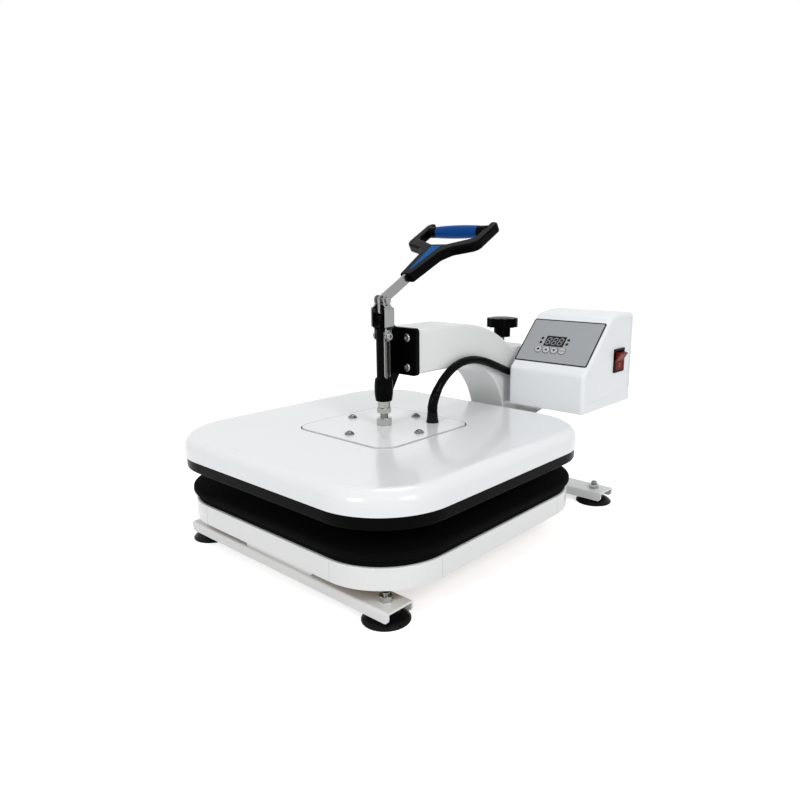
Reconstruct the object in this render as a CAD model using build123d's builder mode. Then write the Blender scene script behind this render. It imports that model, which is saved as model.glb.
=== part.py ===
"""Swing-away heat press: a fixed base with a padded lower table, a post and
gooseneck arm that swing the head aside, and a toggle lever that presses a
heated platen onto the pad.  Millimetres, +Z up, the press faces -Y."""
from build123d import *
import math
import os

os.makedirs("parts", exist_ok=True)

# Overall layout: distances from the press axis, the line through the platens
cap_side = 400.0
front_leg_reach = 157.0
rear_leg_before_bolts = 8.0
post_reach = 256.0
box_front_reach = 212.0

# Leg channels, feet and centre beam
leg_length = 352.0
leg_width = 36.5
leg_height = 12.2
leg_wall = 2.5
leg_bottom = 7.6
foot_inset = 20.0
foot_diameter = 50.6
foot_neck = 20.0
foot_stud = 8.0
foot_stud_top = 30.0
beam_width = 120.0
beam_height = 18.1
beam_wall = 2.5
beam_front_setback = 3.0
bolt_diameter = 8.0
bolt_head_across = 13.0
bolt_head_height = 5.3
nut_height = 6.2
leg_bolt_spread = 84.0
board_bolt_spread = 80.0
board_bolt_pitch = 220.0
board_bolt_grip = 14.0

# Lower table and pad
tray_side = 382.0
tray_corner = 80.0
tray_height = 23.5
tray_wall = 2.0
tray_seam = 0.7
sponge_inset = 2.0
sponge_height = 7.6
pad_overhang = 3.0
pad_height = 9.0
pad_edge = 3.5

# Heated head, stacked down from the platen gap
platen_gap = 25.2
platen_inset = 2.0
platen_corner = 84.0
platen_height = 14.0
cap_corner = 86.0
cap_height = 24.8
cap_wall = 2.0
cap_edge = 16.0
cover_side = 160.0
cover_corner = 22.0
cover_height = 5.0
cover_groove = 1.0
cover_proud = 1.0
cover_ledge = 10.0
cover_screw_reach = 59.6
cover_screw_head = 12.0
cover_screw_dome = 4.2
screw_rim = 0.8
cover_screw_shank = 6.0
screw_bite = 8.0
spacer_diameter = 16.0
blanket_inset = 30.0
blanket_height = 9.0

# Plunger stack above the cover plate
hub_across = 17.0
hub_height = 9.8
rod_diameter = 10.0
rod_bare = 6.6
lock_across = 16.0
lock_height = 6.7
collar_diameter = 16.0
collar_height = 8.8
plunger_diameter = 13.0
plunger_head = 8.0
plunger_bore = 15.0
running_gap = 0.05

# Toggle linkage
crank_radius = 12.73
link_length = 44.0
link_pin_height = 300.8
link_plate = 2.0
link_ear_half = 6.8
link_belly_half = 11.0
link_foot_half = 8.8
link_ear_width = 10.0
link_belly_width = 15.0
belly_top = 290.5
belly_bottom = 269.0
link_pin_diameter = 6.0
link_pin_head = 10.0
plunger_pin_diameter = 8.0
pivot_diameter = 8.0
lever_plate = 4.0
lever_width = 12.0
lever_slope = 29.7

# Press bracket
barrel_height = 28.0
barrel_end = 10.3
barrel_bulge = 11.9
barrel_shoulder = 10.9
column_diameter = 17.4
column_top = 265.0
side_slot = 9.0
side_slot_bottom = 204.0
hook_half = 6.5
hook_eye = 6.5
hook_back = 14.0
hook_front = 1.6
web_half = 4.0
flange_reach = 24.3
flange_thick = 6.0
flange_half = 34.0
flange_bottom = 206.0
flange_height = 60.0
flange_bolt_spread = 37.0
flange_bolt_pitch = 41.1
flange_bolt_middle = 235.25
flange_bolt_length = 16.0
flange_bolt_head = 10.5
flange_bolt_head_height = 4.4

# Gooseneck arm and swing sleeve
arm_half = 31.0
arm_wall = 3.5
arm_edge = 2.5
arm_bottom = 207.5
arm_height = 56.5
arm_top_straight = 112.0
arm_bottom_straight = 122.0
arm_top_radius = 200.0
arm_bottom_radius = 100.0
sleeve_radius = 32.0
sleeve_top = 220.0
sleeve_bore = 28.0
sleeve_cap_height = 6.0
post_radius = 25.0
post_wall = 4.0
post_top = 207.0
socket_height = 40.0
socket_flange_height = 6.0
socket_bolt_spread = 80.0
socket_bolt_pitch = 56.0
socket_edge_across = 10.0
socket_edge_along = 9.0
washer_height = 2.0
upper_bush_length = 26.0
lower_bush_length = 30.0

# Lock knob
knob_diameter = 47.0
knob_head_height = 15.2
knob_hub_diameter = 25.0
knob_hub_height = 15.0
knob_gap = 12.4
knob_flutes = 12
knob_stud = 8.0
knob_stud_depth = 12.0

# Control box
box_left = 44.0
box_width = 122.0
box_depth = 145.0
box_bottom = 142.0
box_tray_height = 6.0
box_front_height = 53.0
box_slope_run = 74.0
box_back_height = 130.0
box_crown = 3.0
box_wall = 2.5
box_edge = 6.0
side_step = 0.8
side_rim = 8.0
side_corner = 5.0
box_screw_diameter = 5.0
tray_screw_inset = 12.0
panel_angle = 45.0
overlay_width = 116.5
overlay_height = 78.0
overlay_left = 2.0
overlay_low = 15.0
overlay_thick = 0.5
overlay_corner = 3.0
display_width = 32.0
display_height = 18.5
display_left = 37.0
display_low = 44.5
led_diameter = 4.2
led_left_column = 31.0
led_right_column = 73.5
led_low = 50.4
led_pitch = 7.3
button_diameter = 10.0
button_first = 33.0
button_pitch = 12.87
button_low = 37.3
button_count = 4
button_gap = 0.3
button_proud = 1.2
button_travel = 0.6
board_depth = 9.0
board_thick = 1.6

# Power switch on the right wall of the box
switch_reach = 101.0
switch_middle = 206.0
bezel_width = 31.0
bezel_height = 34.0
bezel_thick = 2.0
bezel_rim = 3.0
switch_depth = 22.0
rocker_tilt = 15.0
rocker_gap = 0.4
rocker_rise = 7.0
rocker_end_gap = 1.6
rocker_pin = 3.0
rocker_back = 6.0

# Mains inlet on the rear wall, box bracket
inlet_width = 50.0
inlet_height = 26.0
inlet_thick = 2.0
inlet_middle = 176.0
inlet_cup_width = 27.0
inlet_cup_height = 19.0
inlet_cup_depth = 16.0
bracket_plate = 4.0
bracket_width = 70.0
bracket_length = 92.0
bracket_rib = 6.0
bracket_corner = 10.0
bracket_toe = 6.0
bracket_depth = 40.0

# Handle, in the lever's own plane: distances along the lever from the link pin
handle_start = 50.0
handle_thick = 13.0
handle_neck_half = 10.0
handle_root_half = 17.0
handle_root = 104.0
handle_fork = 127.0
handle_half = 61.0
handle_end = 185.0
handle_arm = 13.0
tang_end = 112.0
tang_width = 8.0
grip_place = 170.0
grip_half = 35.4
grip_radius = 8.7
grip_core = 5.0
grip_collar = 7.6
handle_round = 3.0
handle_tip = 8.0
inlay_half = 8.0
inlay_start = 62.0
inlay_end = 122.0
inlay_depth = 1.2
inlay_proud = 0.3

# Heater cable
cable_diameter = 11.0
cable_plane = 37.3
cable_reach = 50.6
boot_gap = 0.4
boot_wall = 1.5
boot_foot = 16.4
boot_tip = 0.7
boot_height = 14.0
gland_diameter = 16.0
gland_length = 15.0

# Places worked out from the sizes above
rear_leg_reach = post_reach + socket_bolt_pitch / 2 - rear_leg_before_bolts
sponge_side = tray_side - 2 * sponge_inset
pad_side = tray_side + 2 * pad_overhang
platen_side = cap_side - 2 * platen_inset
blanket_side = cap_side - 2 * blanket_inset
box_back_reach = box_front_reach + box_depth
press_y = (cap_side / 2 - box_back_reach - inlet_thick) / 2
post_y = press_y + post_reach
leg_top = leg_bottom + leg_height
beam_top = leg_top + beam_height
socket_flange_width = socket_bolt_spread + 2 * socket_edge_across
socket_flange_depth = socket_bolt_pitch + 2 * socket_edge_along
tray_top = beam_top + tray_height
sponge_top = tray_top + sponge_height
pad_top = sponge_top + pad_height
platen_bottom = pad_top + platen_gap
platen_top = platen_bottom + platen_height
cap_top = platen_top + cap_height
cover_top = cap_top + cover_proud
hub_top = cover_top + hub_height
lock_bottom = hub_top + rod_bare
lock_top = lock_bottom + lock_height
collar_top = lock_top + collar_height
barrel_bottom = collar_top + 0.1
barrel_top = barrel_bottom + barrel_height
pivot_z = link_pin_height - crank_radius
plunger_pin_z = link_pin_height - link_length
plunger_top = plunger_pin_z + plunger_head
flange_face = press_y + flange_reach
arm_front = flange_face + flange_thick
arm_top = arm_bottom + arm_height
socket_top = beam_top + socket_height
washer_top = socket_top + washer_height
sleeve_bottom = washer_top + 0.1
knob_bottom = sleeve_top + knob_gap
box_front = press_y + box_front_reach
box_back = box_front + box_depth
box_right = box_left + box_width
box_middle = box_left + box_width / 2
tray_split = box_bottom + box_tray_height
slope_start = box_bottom + box_front_height
slope_end = slope_start + box_slope_run * math.tan(math.radians(panel_angle))

press_plane = Plane(origin=(0, press_y, 0))
panel_up = (0, math.cos(math.radians(panel_angle)), math.sin(math.radians(panel_angle)))
panel_plane = Plane(
    origin=(box_left, box_front, slope_start),
    x_dir=(1, 0, 0),
    z_dir=(0, -panel_up[2], panel_up[1]),
)
lever_rise = math.sin(math.radians(lever_slope))
lever_run = math.cos(math.radians(lever_slope))
lever_frame = Plane(
    origin=(0, press_y, link_pin_height),
    x_dir=(1, 0, 0),
    z_dir=(0, -lever_rise, lever_run),
)


def save(builder, name):
    """Label a finished piece and write it to its own file."""
    builder.part.label = name
    export_step(builder.part, f"parts/{name}.step")


def level(height):
    """A horizontal plane at this height, centred on the press axis."""
    return Plane(origin=(0, press_y, height))


def post_level(height):
    """A horizontal plane at this height, centred on the swing post."""
    return Plane(origin=(0, post_y, height))


# Leg channels
def make_leg(name, reach):
    leg_y = press_y + reach
    with BuildPart() as leg:
        with BuildSketch(Plane.YZ):
            with Locations((leg_y, leg_bottom + leg_height / 2)):
                Rectangle(leg_width, leg_height)
        extrude(amount=leg_length / 2, both=True)
        fillet(leg.edges().filter_by(Axis.X).group_by(Axis.Z)[-1], leg_wall)
        with BuildSketch(Plane.YZ):
            with Locations((leg_y, leg_bottom + (leg_height - leg_wall) / 2)):
                Rectangle(leg_width - 2 * leg_wall, leg_height - leg_wall)
        extrude(amount=leg_length / 2, both=True, mode=Mode.SUBTRACT)
        corners = leg.edges().filter_by(Axis.Y).group_by(Axis.Z)[0]
        fillet(corners, leg_height / 2 - 1)
        with Locations(Plane(origin=(0, leg_y, leg_top))):
            with GridLocations(leg_length - 2 * foot_inset, 1, 2, 1):
                Hole(foot_stud / 2, depth=leg_wall)
            with GridLocations(leg_bolt_spread, 1, 2, 1):
                Hole(bolt_diameter / 2, depth=leg_wall)
    save(leg, name)


make_leg("front_leg_channel", -front_leg_reach)
make_leg("rear_leg_channel", rear_leg_reach)

foot_places = []
for leg_y in (press_y - front_leg_reach, press_y + rear_leg_reach):
    for side in (-1, 1):
        foot_places.append((side * (leg_length / 2 - foot_inset), leg_y))

# Rubber suction feet: a wide cup, its hollow underside and a neck into the channel
foot_neck_top = leg_top - leg_wall
foot_shoulder = leg_bottom - 0.9
foot_hollow = 5.0
foot_roof = foot_hollow + 2.0
with BuildPart() as foot:
    with BuildSketch(Plane.XZ) as foot_profile:
        with BuildLine():
            rim = Line((foot_diameter / 2 - 2.5, 0), (foot_diameter / 2, 0))
            edge = Line(rim @ 1, (foot_diameter / 2, 1.2))
            dome = ThreePointArc(
                edge @ 1,
                (foot_diameter / 2 - 4.0, 4.6),
                (leg_width / 2 - leg_wall - 1.5, foot_shoulder),
            )
            taper = Line(dome @ 1, (foot_neck / 2, foot_shoulder + 3.5))
            neck = Line(taper @ 1, (foot_neck / 2, foot_neck_top))
            top = Line(neck @ 1, (foot_stud / 2, foot_neck_top))
            socket = Line(top @ 1, (foot_stud / 2, foot_roof))
            floor = Line(socket @ 1, (0, foot_roof))
            middle = Line(floor @ 1, (0, foot_hollow))
            ThreePointArc(middle @ 1, (foot_diameter / 4, foot_hollow * 0.72), rim @ 0)
        make_face()
    revolve(axis=Axis.Z)
with BuildPart() as suction_feet:
    with Locations(*[(x, y, 0) for x, y in foot_places]):
        add(foot.part)
save(suction_feet, "suction_feet")

# Foot studs stand in the rubber and end above the channel
with BuildPart() as foot_studs:
    with Locations(*[(x, y, foot_roof) for x, y in foot_places]):
        Cylinder(
            foot_stud / 2,
            foot_stud_top - foot_roof,
            align=(Align.CENTER, Align.CENTER, Align.MIN),
        )
    chamfer(foot_studs.edges().group_by(Axis.Z)[-1], 0.8)
save(foot_studs, "foot_studs")


def make_nut(across, height, bore):
    """A hexagon nut standing on its own origin."""
    with BuildPart() as nut:
        with BuildSketch():
            RegularPolygon(across / 2, 6, major_radius=False)
            if bore > 0:
                Circle(bore / 2, mode=Mode.SUBTRACT)
        extrude(amount=height)
        with BuildSketch(Plane.XZ):
            with BuildLine():
                outer = across / 2 / math.cos(math.radians(30))
                Polyline(
                    (across / 2, height),
                    (outer + 0.1, height),
                    (outer + 0.1, height - (outer - across / 2) * 0.7),
                    close=True,
                )
            make_face()
        revolve(axis=Axis.Z, mode=Mode.SUBTRACT)
    return nut.part



# Centre beam: a flat rectangular tube under the table, its ends closed
beam_front = press_y - front_leg_reach - leg_width / 2 + beam_front_setback
beam_back = press_y + rear_leg_reach + leg_width / 2
beam_length = beam_back - beam_front
beam_places = []
for leg_y in (press_y - front_leg_reach, press_y + rear_leg_reach):
    for side in (-1, 1):
        beam_places.append((side * leg_bolt_spread / 2, leg_y))
board_places = []
for along in (-1, 1):
    for side in (-1, 1):
        board_places.append((side * board_bolt_spread / 2, press_y + along * board_bolt_pitch / 2))
socket_places = []
for along in (-1, 1):
    for side in (-1, 1):
        socket_places.append((side * socket_bolt_spread / 2, post_y + along * socket_bolt_pitch / 2))
with BuildPart() as base_beam:
    with BuildSketch(Plane(origin=(0, beam_front, leg_top), x_dir=(1, 0, 0), z_dir=(0, -1, 0))):
        with Locations((0, beam_height / 2)):
            RectangleRounded(beam_width, beam_height, beam_wall + 0.5)
    extrude(amount=-beam_length)
    inside = Plane(origin=(0, beam_back - beam_wall, leg_top), x_dir=(1, 0, 0), z_dir=(0, -1, 0))
    with BuildSketch(inside):
        with Locations((0, beam_height / 2)):
            Rectangle(beam_width - 2 * beam_wall, beam_height - 2 * beam_wall)
    extrude(amount=beam_length - 2 * beam_wall, mode=Mode.SUBTRACT)
    with Locations(*[(x, y, leg_top + beam_wall) for x, y in beam_places]):
        Hole(bolt_diameter / 2, depth=beam_wall)
    with Locations(*[(x, y, beam_top) for x, y in board_places]):
        Hole(bolt_diameter / 2, depth=beam_height)
    with Locations(*[(x, y, beam_top) for x, y in socket_places]):
        Hole(bolt_diameter / 2, depth=beam_wall)
save(base_beam, "base_beam")


def make_bolt(length, width):
    """A hexagon bolt hanging head down: head below the origin, shank above."""
    with BuildPart() as bolt:
        with BuildSketch():
            RegularPolygon(bolt_head_across / 2, 6, major_radius=False)
        extrude(amount=-bolt_head_height)
        with BuildSketch():
            Circle(width / 2)
        extrude(amount=length)
        chamfer(bolt.edges().group_by(Axis.Z)[-1], 0.8)
    return bolt.part


# Base bolts: legs to beam, table board from below, post socket from above; nuts for all but the board
leg_bolt = make_bolt(leg_wall + beam_wall + nut_height + 0.6, bolt_diameter)
board_bolt = make_bolt(beam_height + board_bolt_grip, bolt_diameter)
socket_bolt = make_bolt(socket_flange_height + beam_wall + nut_height, bolt_diameter)
weld_nut = make_nut(bolt_head_across, nut_height, bolt_diameter)
with BuildPart() as base_bolts:
    with Locations(*[(x, y, leg_top - leg_wall) for x, y in beam_places]):
        add(leg_bolt)
    with Locations(*[(x, y, leg_top) for x, y in board_places]):
        add(board_bolt)
    with Locations(*[(x, y, beam_top + socket_flange_height) for x, y in socket_places]):
        add(socket_bolt.rotate(Axis.X, 180))
save(base_bolts, "base_bolts")
with BuildPart() as base_nuts:
    with Locations(*[(x, y, leg_top) for x, y in foot_places]):
        add(weld_nut)
    with Locations(*[(x, y, leg_top + beam_wall) for x, y in beam_places]):
        add(weld_nut)
    with Locations(*[(x, y, beam_top - beam_wall - nut_height) for x, y in socket_places]):
        add(weld_nut)
save(base_nuts, "base_nuts")

# Lower table: a painted steel tray over a board
with BuildPart() as table_tray:
    with BuildSketch(level(beam_top)):
        RectangleRounded(tray_side, tray_side, tray_corner)
    extrude(amount=tray_height)
    fillet(table_tray.edges().group_by(Axis.Z)[-1], 1.2)
    with BuildSketch(level(beam_top)):
        RectangleRounded(
            tray_side - 2 * tray_wall, tray_side - 2 * tray_wall, tray_corner - tray_wall
        )
    extrude(amount=tray_height - tray_wall, mode=Mode.SUBTRACT)
    seam_offset = tray_side / 2 - tray_corner
    with BuildSketch(level(beam_top)):
        for turn in range(4):
            for side in (-1, 1):
                with Locations(Location((0, 0), turn * 90)):
                    with Locations((side * seam_offset, tray_side / 2)):
                        Rectangle(tray_seam, tray_seam)
    extrude(amount=tray_height - 2, mode=Mode.SUBTRACT)
save(table_tray, "table_tray")

with BuildPart() as table_board:
    with BuildSketch(level(beam_top)):
        RectangleRounded(
            tray_side - 2 * tray_wall, tray_side - 2 * tray_wall, tray_corner - tray_wall
        )
    extrude(amount=tray_height - tray_wall)
    with Locations(*[(x, y, beam_top) for x, y in board_places]):
        Cylinder(
            bolt_diameter / 2,
            board_bolt_grip,
            align=(Align.CENTER, Align.CENTER, Align.MIN),
            mode=Mode.SUBTRACT,
        )
save(table_board, "table_board")

with BuildPart() as sponge_layer:
    with BuildSketch(level(tray_top)):
        RectangleRounded(sponge_side, sponge_side, tray_corner - (tray_side - sponge_side) / 2)
    extrude(amount=sponge_height)
save(sponge_layer, "sponge_layer")

with BuildPart() as press_pad:
    with BuildSketch(level(sponge_top)):
        RectangleRounded(pad_side, pad_side, tray_corner + (pad_side - tray_side) / 2)
    extrude(amount=pad_height)
    fillet(press_pad.edges().group_by(Axis.Z)[-1], pad_edge)
    fillet(press_pad.edges().group_by(Axis.Z)[0], pad_edge / 2)
save(press_pad, "press_pad")

# Post: a bolted socket, the tube that stands in it and the washer the sleeve turns on
with BuildPart() as post_socket:
    with BuildSketch(post_level(beam_top)):
        RectangleRounded(socket_flange_width, socket_flange_depth, 8)
    extrude(amount=socket_flange_height)
    with BuildSketch(post_level(beam_top)):
        Circle(sleeve_radius)
    extrude(amount=socket_height)
    fillet(post_socket.edges().filter_by(GeomType.CIRCLE).group_by(Axis.Z)[-1], 1.5)
    with BuildSketch(post_level(beam_top)):
        Circle(post_radius)
    extrude(amount=socket_height, mode=Mode.SUBTRACT)
    with Locations(*[(x, y, beam_top + socket_flange_height) for x, y in socket_places]):
        Hole(bolt_diameter / 2, depth=socket_flange_height)
save(post_socket, "post_socket")

with BuildPart() as swing_post:
    with BuildSketch(post_level(beam_top)):
        Circle(post_radius)
        Circle(post_radius - post_wall, mode=Mode.SUBTRACT)
    extrude(amount=post_top - beam_top)
save(swing_post, "swing_post")

with BuildPart() as thrust_washer:
    with BuildSketch(post_level(socket_top)):
        Circle(sleeve_radius - 1)
        Circle(post_radius, mode=Mode.SUBTRACT)
    extrude(amount=washer_height)
save(thrust_washer, "thrust_washer")

# Swing sleeve, its cap and the two bushes that turn on the post
with BuildPart() as swing_sleeve:
    with BuildSketch(post_level(sleeve_bottom)):
        Circle(sleeve_radius)
        Circle(sleeve_bore, mode=Mode.SUBTRACT)
    extrude(amount=sleeve_top - sleeve_bottom)
save(swing_sleeve, "swing_sleeve")

with BuildPart() as sleeve_cap:
    with BuildSketch(post_level(sleeve_top - sleeve_cap_height)):
        Circle(sleeve_bore)
        Circle(knob_stud / 2 + running_gap, mode=Mode.SUBTRACT)
    extrude(amount=sleeve_cap_height)
save(sleeve_cap, "sleeve_cap")


with BuildPart() as sleeve_bushes:
    for bottom, length in (
        (sleeve_bottom, lower_bush_length),
        (post_top - upper_bush_length, upper_bush_length),
    ):
        with BuildSketch(post_level(bottom)):
            Circle(sleeve_bore)
            Circle(post_radius + running_gap, mode=Mode.SUBTRACT)
        extrude(amount=length)
save(sleeve_bushes, "sleeve_bushes")

# Gooseneck arm: a box section with a curved back that drops into the sleeve
arm_end = post_y
top_start = press_y + arm_top_straight
low_start = press_y + arm_bottom_straight
low_centre_z = arm_bottom - arm_bottom_radius
top_centre_z = arm_top - arm_top_radius
top_drop = math.asin((arm_end - top_start) / arm_top_radius)


def arm_outline(inset):
    """Side outline of the arm, inset evenly for its hollow."""
    top_radius = arm_top_radius - inset
    low_radius = arm_bottom_radius + inset
    turn = math.degrees(top_drop)
    with BuildSketch(Plane.YZ) as outline:
        with BuildLine():
            top = Line((arm_front + inset, arm_top - inset), (top_start, arm_top - inset))
            bend = CenterArc((top_start, top_centre_z), top_radius, 90, -turn)
            low = Line((arm_front + inset, arm_bottom + inset), (low_start, arm_bottom + inset))
            belly = CenterArc((low_start, low_centre_z), low_radius, 90, -90)
            toe = Line(belly @ 1, ((bend @ 1).X, low_centre_z))
            Line(toe @ 1, bend @ 1)
            Line(low @ 0, top @ 0)
        make_face()
    return outline.sketch


with BuildPart() as gooseneck_arm:
    extrude(arm_outline(0), amount=arm_half, both=True)
    long_edges = (
        gooseneck_arm.edges()
        .filter_by(lambda edge: abs(abs(edge.center().X) - arm_half) < 0.01)
        .filter_by(lambda edge: edge.center().Z > low_centre_z + 1)
        .filter_by(lambda edge: edge.center().Y < arm_end - 1)
    )
    fillet(long_edges, arm_edge)
    with BuildSketch(post_level(low_centre_z - 1)):
        Circle(sleeve_radius)
    extrude(amount=sleeve_top - low_centre_z + 1, mode=Mode.SUBTRACT)
    extrude(arm_outline(arm_wall), amount=arm_half - arm_wall, both=True, mode=Mode.SUBTRACT)
    with Locations(Plane(origin=(0, arm_front, flange_bolt_middle), z_dir=(0, -1, 0))):
        with GridLocations(flange_bolt_spread, flange_bolt_pitch, 2, 2):
            Hole(bolt_diameter / 2, depth=arm_wall)
save(gooseneck_arm, "gooseneck_arm")

# Press bracket: a black casting with the plunger barrel, the slotted column,
# a web and flange to the arm, and the hooked eye that carries the lever
flange_plane = Plane(origin=(0, flange_face, flange_bottom), x_dir=(1, 0, 0), z_dir=(0, -1, 0))
with BuildPart() as press_bracket:
    with BuildSketch(Plane(origin=(0, press_y, 0), x_dir=(1, 0, 0), z_dir=(0, -1, 0))):
        with BuildLine():
            low = Line((0, barrel_bottom), (barrel_end, barrel_bottom))
            bulge = ThreePointArc(
                low @ 1,
                (barrel_bulge, (barrel_bottom + barrel_top) / 2),
                (barrel_shoulder, barrel_top),
            )
            step = Line(bulge @ 1, (column_diameter / 2, barrel_top + 2))
            column = Line(step @ 1, (column_diameter / 2, column_top))
            roof = Line(column @ 1, (0, column_top))
            Line(roof @ 1, low @ 0)
        make_face()
    revolve(axis=Axis((0, press_y, 0), (0, 0, 1)))
    with BuildSketch(Plane.YZ):
        with BuildLine():
            Polyline(
                (press_y, barrel_bottom + 4),
                (press_y + 8, barrel_bottom + 4),
                (flange_face, flange_bottom),
                (flange_face, column_top - 4),
                (press_y + hook_back, column_top + 8),
                (press_y + hook_front, column_top + 8),
                (press_y + hook_front, column_top - 4),
                (press_y, column_top - 4),
                close=True,
            )
        make_face()
    extrude(amount=web_half, both=True)
    with BuildSketch(Plane.YZ):
        with BuildLine():
            hook_low = column_top - 3
            back = Line((press_y + hook_front, hook_low), (press_y + hook_back, hook_low))
            spine = Line(back @ 1, (press_y + hook_back, column_top + 8))
            shoulder = Line(spine @ 1, (press_y + hook_eye, pivot_z))
            crown = ThreePointArc(
                shoulder @ 1, (press_y, pivot_z + hook_eye), (press_y - hook_eye, pivot_z)
            )
            chin = ThreePointArc(
                crown @ 1,
                (press_y - hook_eye * 0.6, pivot_z - hook_eye * 0.8),
                (press_y + hook_front, pivot_z - hook_eye),
            )
            Line(chin @ 1, back @ 0)
        make_face()
    extrude(amount=hook_half, both=True)
    with BuildSketch(flange_plane):
        with Locations((0, flange_height / 2)):
            RectangleRounded(2 * flange_half, flange_height, 5)
    extrude(amount=-flange_thick)
    fillet(press_bracket.faces().filter_by(Axis.Y).group_by(Axis.Y)[-1].edges(), 0.4)
    with Locations(Plane(origin=(0, flange_face, flange_bolt_middle), z_dir=(0, -1, 0))):
        with GridLocations(flange_bolt_spread, flange_bolt_pitch, 2, 2):
            Hole(bolt_diameter / 2, depth=flange_thick)
    with BuildSketch(level(barrel_bottom)):
        Circle(plunger_diameter / 2 + running_gap)
    extrude(amount=column_top - barrel_bottom, mode=Mode.SUBTRACT)
    slot_top = plunger_pin_z + side_slot / 2
    slot_length = slot_top - side_slot_bottom
    with BuildSketch(Plane.YZ):
        with Locations((press_y, (slot_top + side_slot_bottom) / 2)):
            SlotOverall(slot_length, side_slot, rotation=90)
    extrude(amount=column_diameter, both=True, mode=Mode.SUBTRACT)
    slot_half = lever_plate / 2 + 0.2
    lever_room = lever_width / 2 + 1
    with BuildSketch(Plane.YZ):
        with BuildLine():
            Polyline(
                (press_y - hook_eye - 2, column_top),
                (press_y + hook_front + 2, column_top + 2),
                (press_y + lever_room, pivot_z - lever_room),
                (press_y + lever_room, pivot_z + hook_eye + 2),
                (press_y - hook_eye - 2, pivot_z + hook_eye + 2),
                close=True,
            )
        make_face()
    extrude(amount=slot_half, both=True, mode=Mode.SUBTRACT)
    with BuildSketch(Plane.YZ):
        with Locations((press_y, pivot_z)):
            Circle(pivot_diameter / 2)
    extrude(amount=hook_half, both=True, mode=Mode.SUBTRACT)
save(press_bracket, "press_bracket")

with BuildPart() as bracket_bolts:
    with BuildSketch(Plane(origin=(0, flange_face, flange_bolt_middle), z_dir=(0, -1, 0))):
        with GridLocations(flange_bolt_spread, flange_bolt_pitch, 2, 2):
            Circle(bolt_diameter / 2)
    extrude(amount=-flange_bolt_length)
    with BuildSketch(Plane(origin=(0, flange_face, flange_bolt_middle), z_dir=(0, -1, 0))):
        with GridLocations(flange_bolt_spread, flange_bolt_pitch, 2, 2):
            Circle(flange_bolt_head / 2)
    extrude(amount=flange_bolt_head_height)
    fillet(bracket_bolts.edges().group_by(Axis.Y)[0], 1.4)
    head_front = flange_face - flange_bolt_head_height
    with BuildSketch(Plane(origin=(0, head_front, flange_bolt_middle), z_dir=(0, -1, 0))):
        with GridLocations(flange_bolt_spread, flange_bolt_pitch, 2, 2):
            RegularPolygon(2.5, 6, major_radius=False)
    extrude(amount=-2.5, mode=Mode.SUBTRACT)
save(bracket_bolts, "bracket_bolts")

with BuildPart() as lever_pivot_pin:
    with BuildSketch(Plane.YZ):
        with Locations((press_y, pivot_z)):
            Circle(pivot_diameter / 2)
    extrude(amount=hook_half, both=True)
save(lever_pivot_pin, "lever_pivot_pin")

# Toggle links: two bent plates that join the lever pin to the plunger pin
foot_low = plunger_pin_z - 6.5
ear_high = link_pin_height + 7
with BuildPart() as toggle_links:
    with BuildSketch(press_plane.rotated((90, 0, 0))) as strip:
        with BuildLine():
            strip_line = FilletPolyline(
                (link_ear_half + link_plate / 2, ear_high),
                (link_ear_half + link_plate / 2, belly_top + 5),
                (link_belly_half + link_plate / 2, belly_top),
                (link_belly_half + link_plate / 2, belly_bottom),
                (link_foot_half + link_plate / 2, belly_bottom - 4),
                (link_foot_half + link_plate / 2, foot_low),
                radius=2,
            )
        trace(line_width=link_plate)
    extrude(amount=link_belly_width / 2, both=True)
    with BuildSketch(Plane.YZ):
        with Locations((press_y, link_pin_height)):
            Circle(link_ear_width / 2 + 1)
        with Locations((press_y, (belly_top + link_pin_height) / 2)):
            Rectangle(link_ear_width, link_pin_height - belly_top + 6)
        with Locations((press_y, (belly_top + belly_bottom) / 2)):
            RectangleRounded(link_belly_width, belly_top - belly_bottom + 4, 2.5)
        with Locations((press_y, (belly_bottom + plunger_pin_z) / 2)):
            Rectangle(link_ear_width, belly_bottom - plunger_pin_z + 2)
        with Locations((press_y, plunger_pin_z)):
            Circle(link_ear_width / 2 + 1)
    extrude(amount=link_belly_half + 2 * link_plate, mode=Mode.INTERSECT)
    with BuildSketch(Plane.YZ):
        with Locations((press_y, link_pin_height)):
            Circle(link_pin_diameter / 2 + running_gap)
        with Locations((press_y, plunger_pin_z)):
            Circle(link_pin_diameter / 2)
    extrude(amount=link_belly_half + 2 * link_plate, mode=Mode.SUBTRACT)
    mirror(about=Plane.YZ)
save(toggle_links, "toggle_links")

# Screws through the lower eyes of the links, their ends just short of the plunger pin
with BuildPart() as link_screws:
    with BuildSketch(Plane.YZ.offset(link_foot_half)):
        with Locations((press_y, plunger_pin_z)):
            Circle(link_pin_diameter / 2)
    extrude(amount=link_plate)
    with BuildSketch(Plane.YZ.offset(link_foot_half + link_plate)):
        with Locations((press_y, plunger_pin_z)):
            Circle(link_pin_head / 2)
    extrude(amount=2.6)
    fillet(link_screws.edges().group_by(Axis.X)[-1], 1.2)
    with BuildSketch(Plane.YZ.offset(link_foot_half + link_plate + 2.6)):
        with Locations((press_y, plunger_pin_z)):
            RegularPolygon(2, 6, major_radius=False)
    extrude(amount=-1.6, mode=Mode.SUBTRACT)
    mirror(about=Plane.YZ)
save(link_screws, "link_screws")

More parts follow.
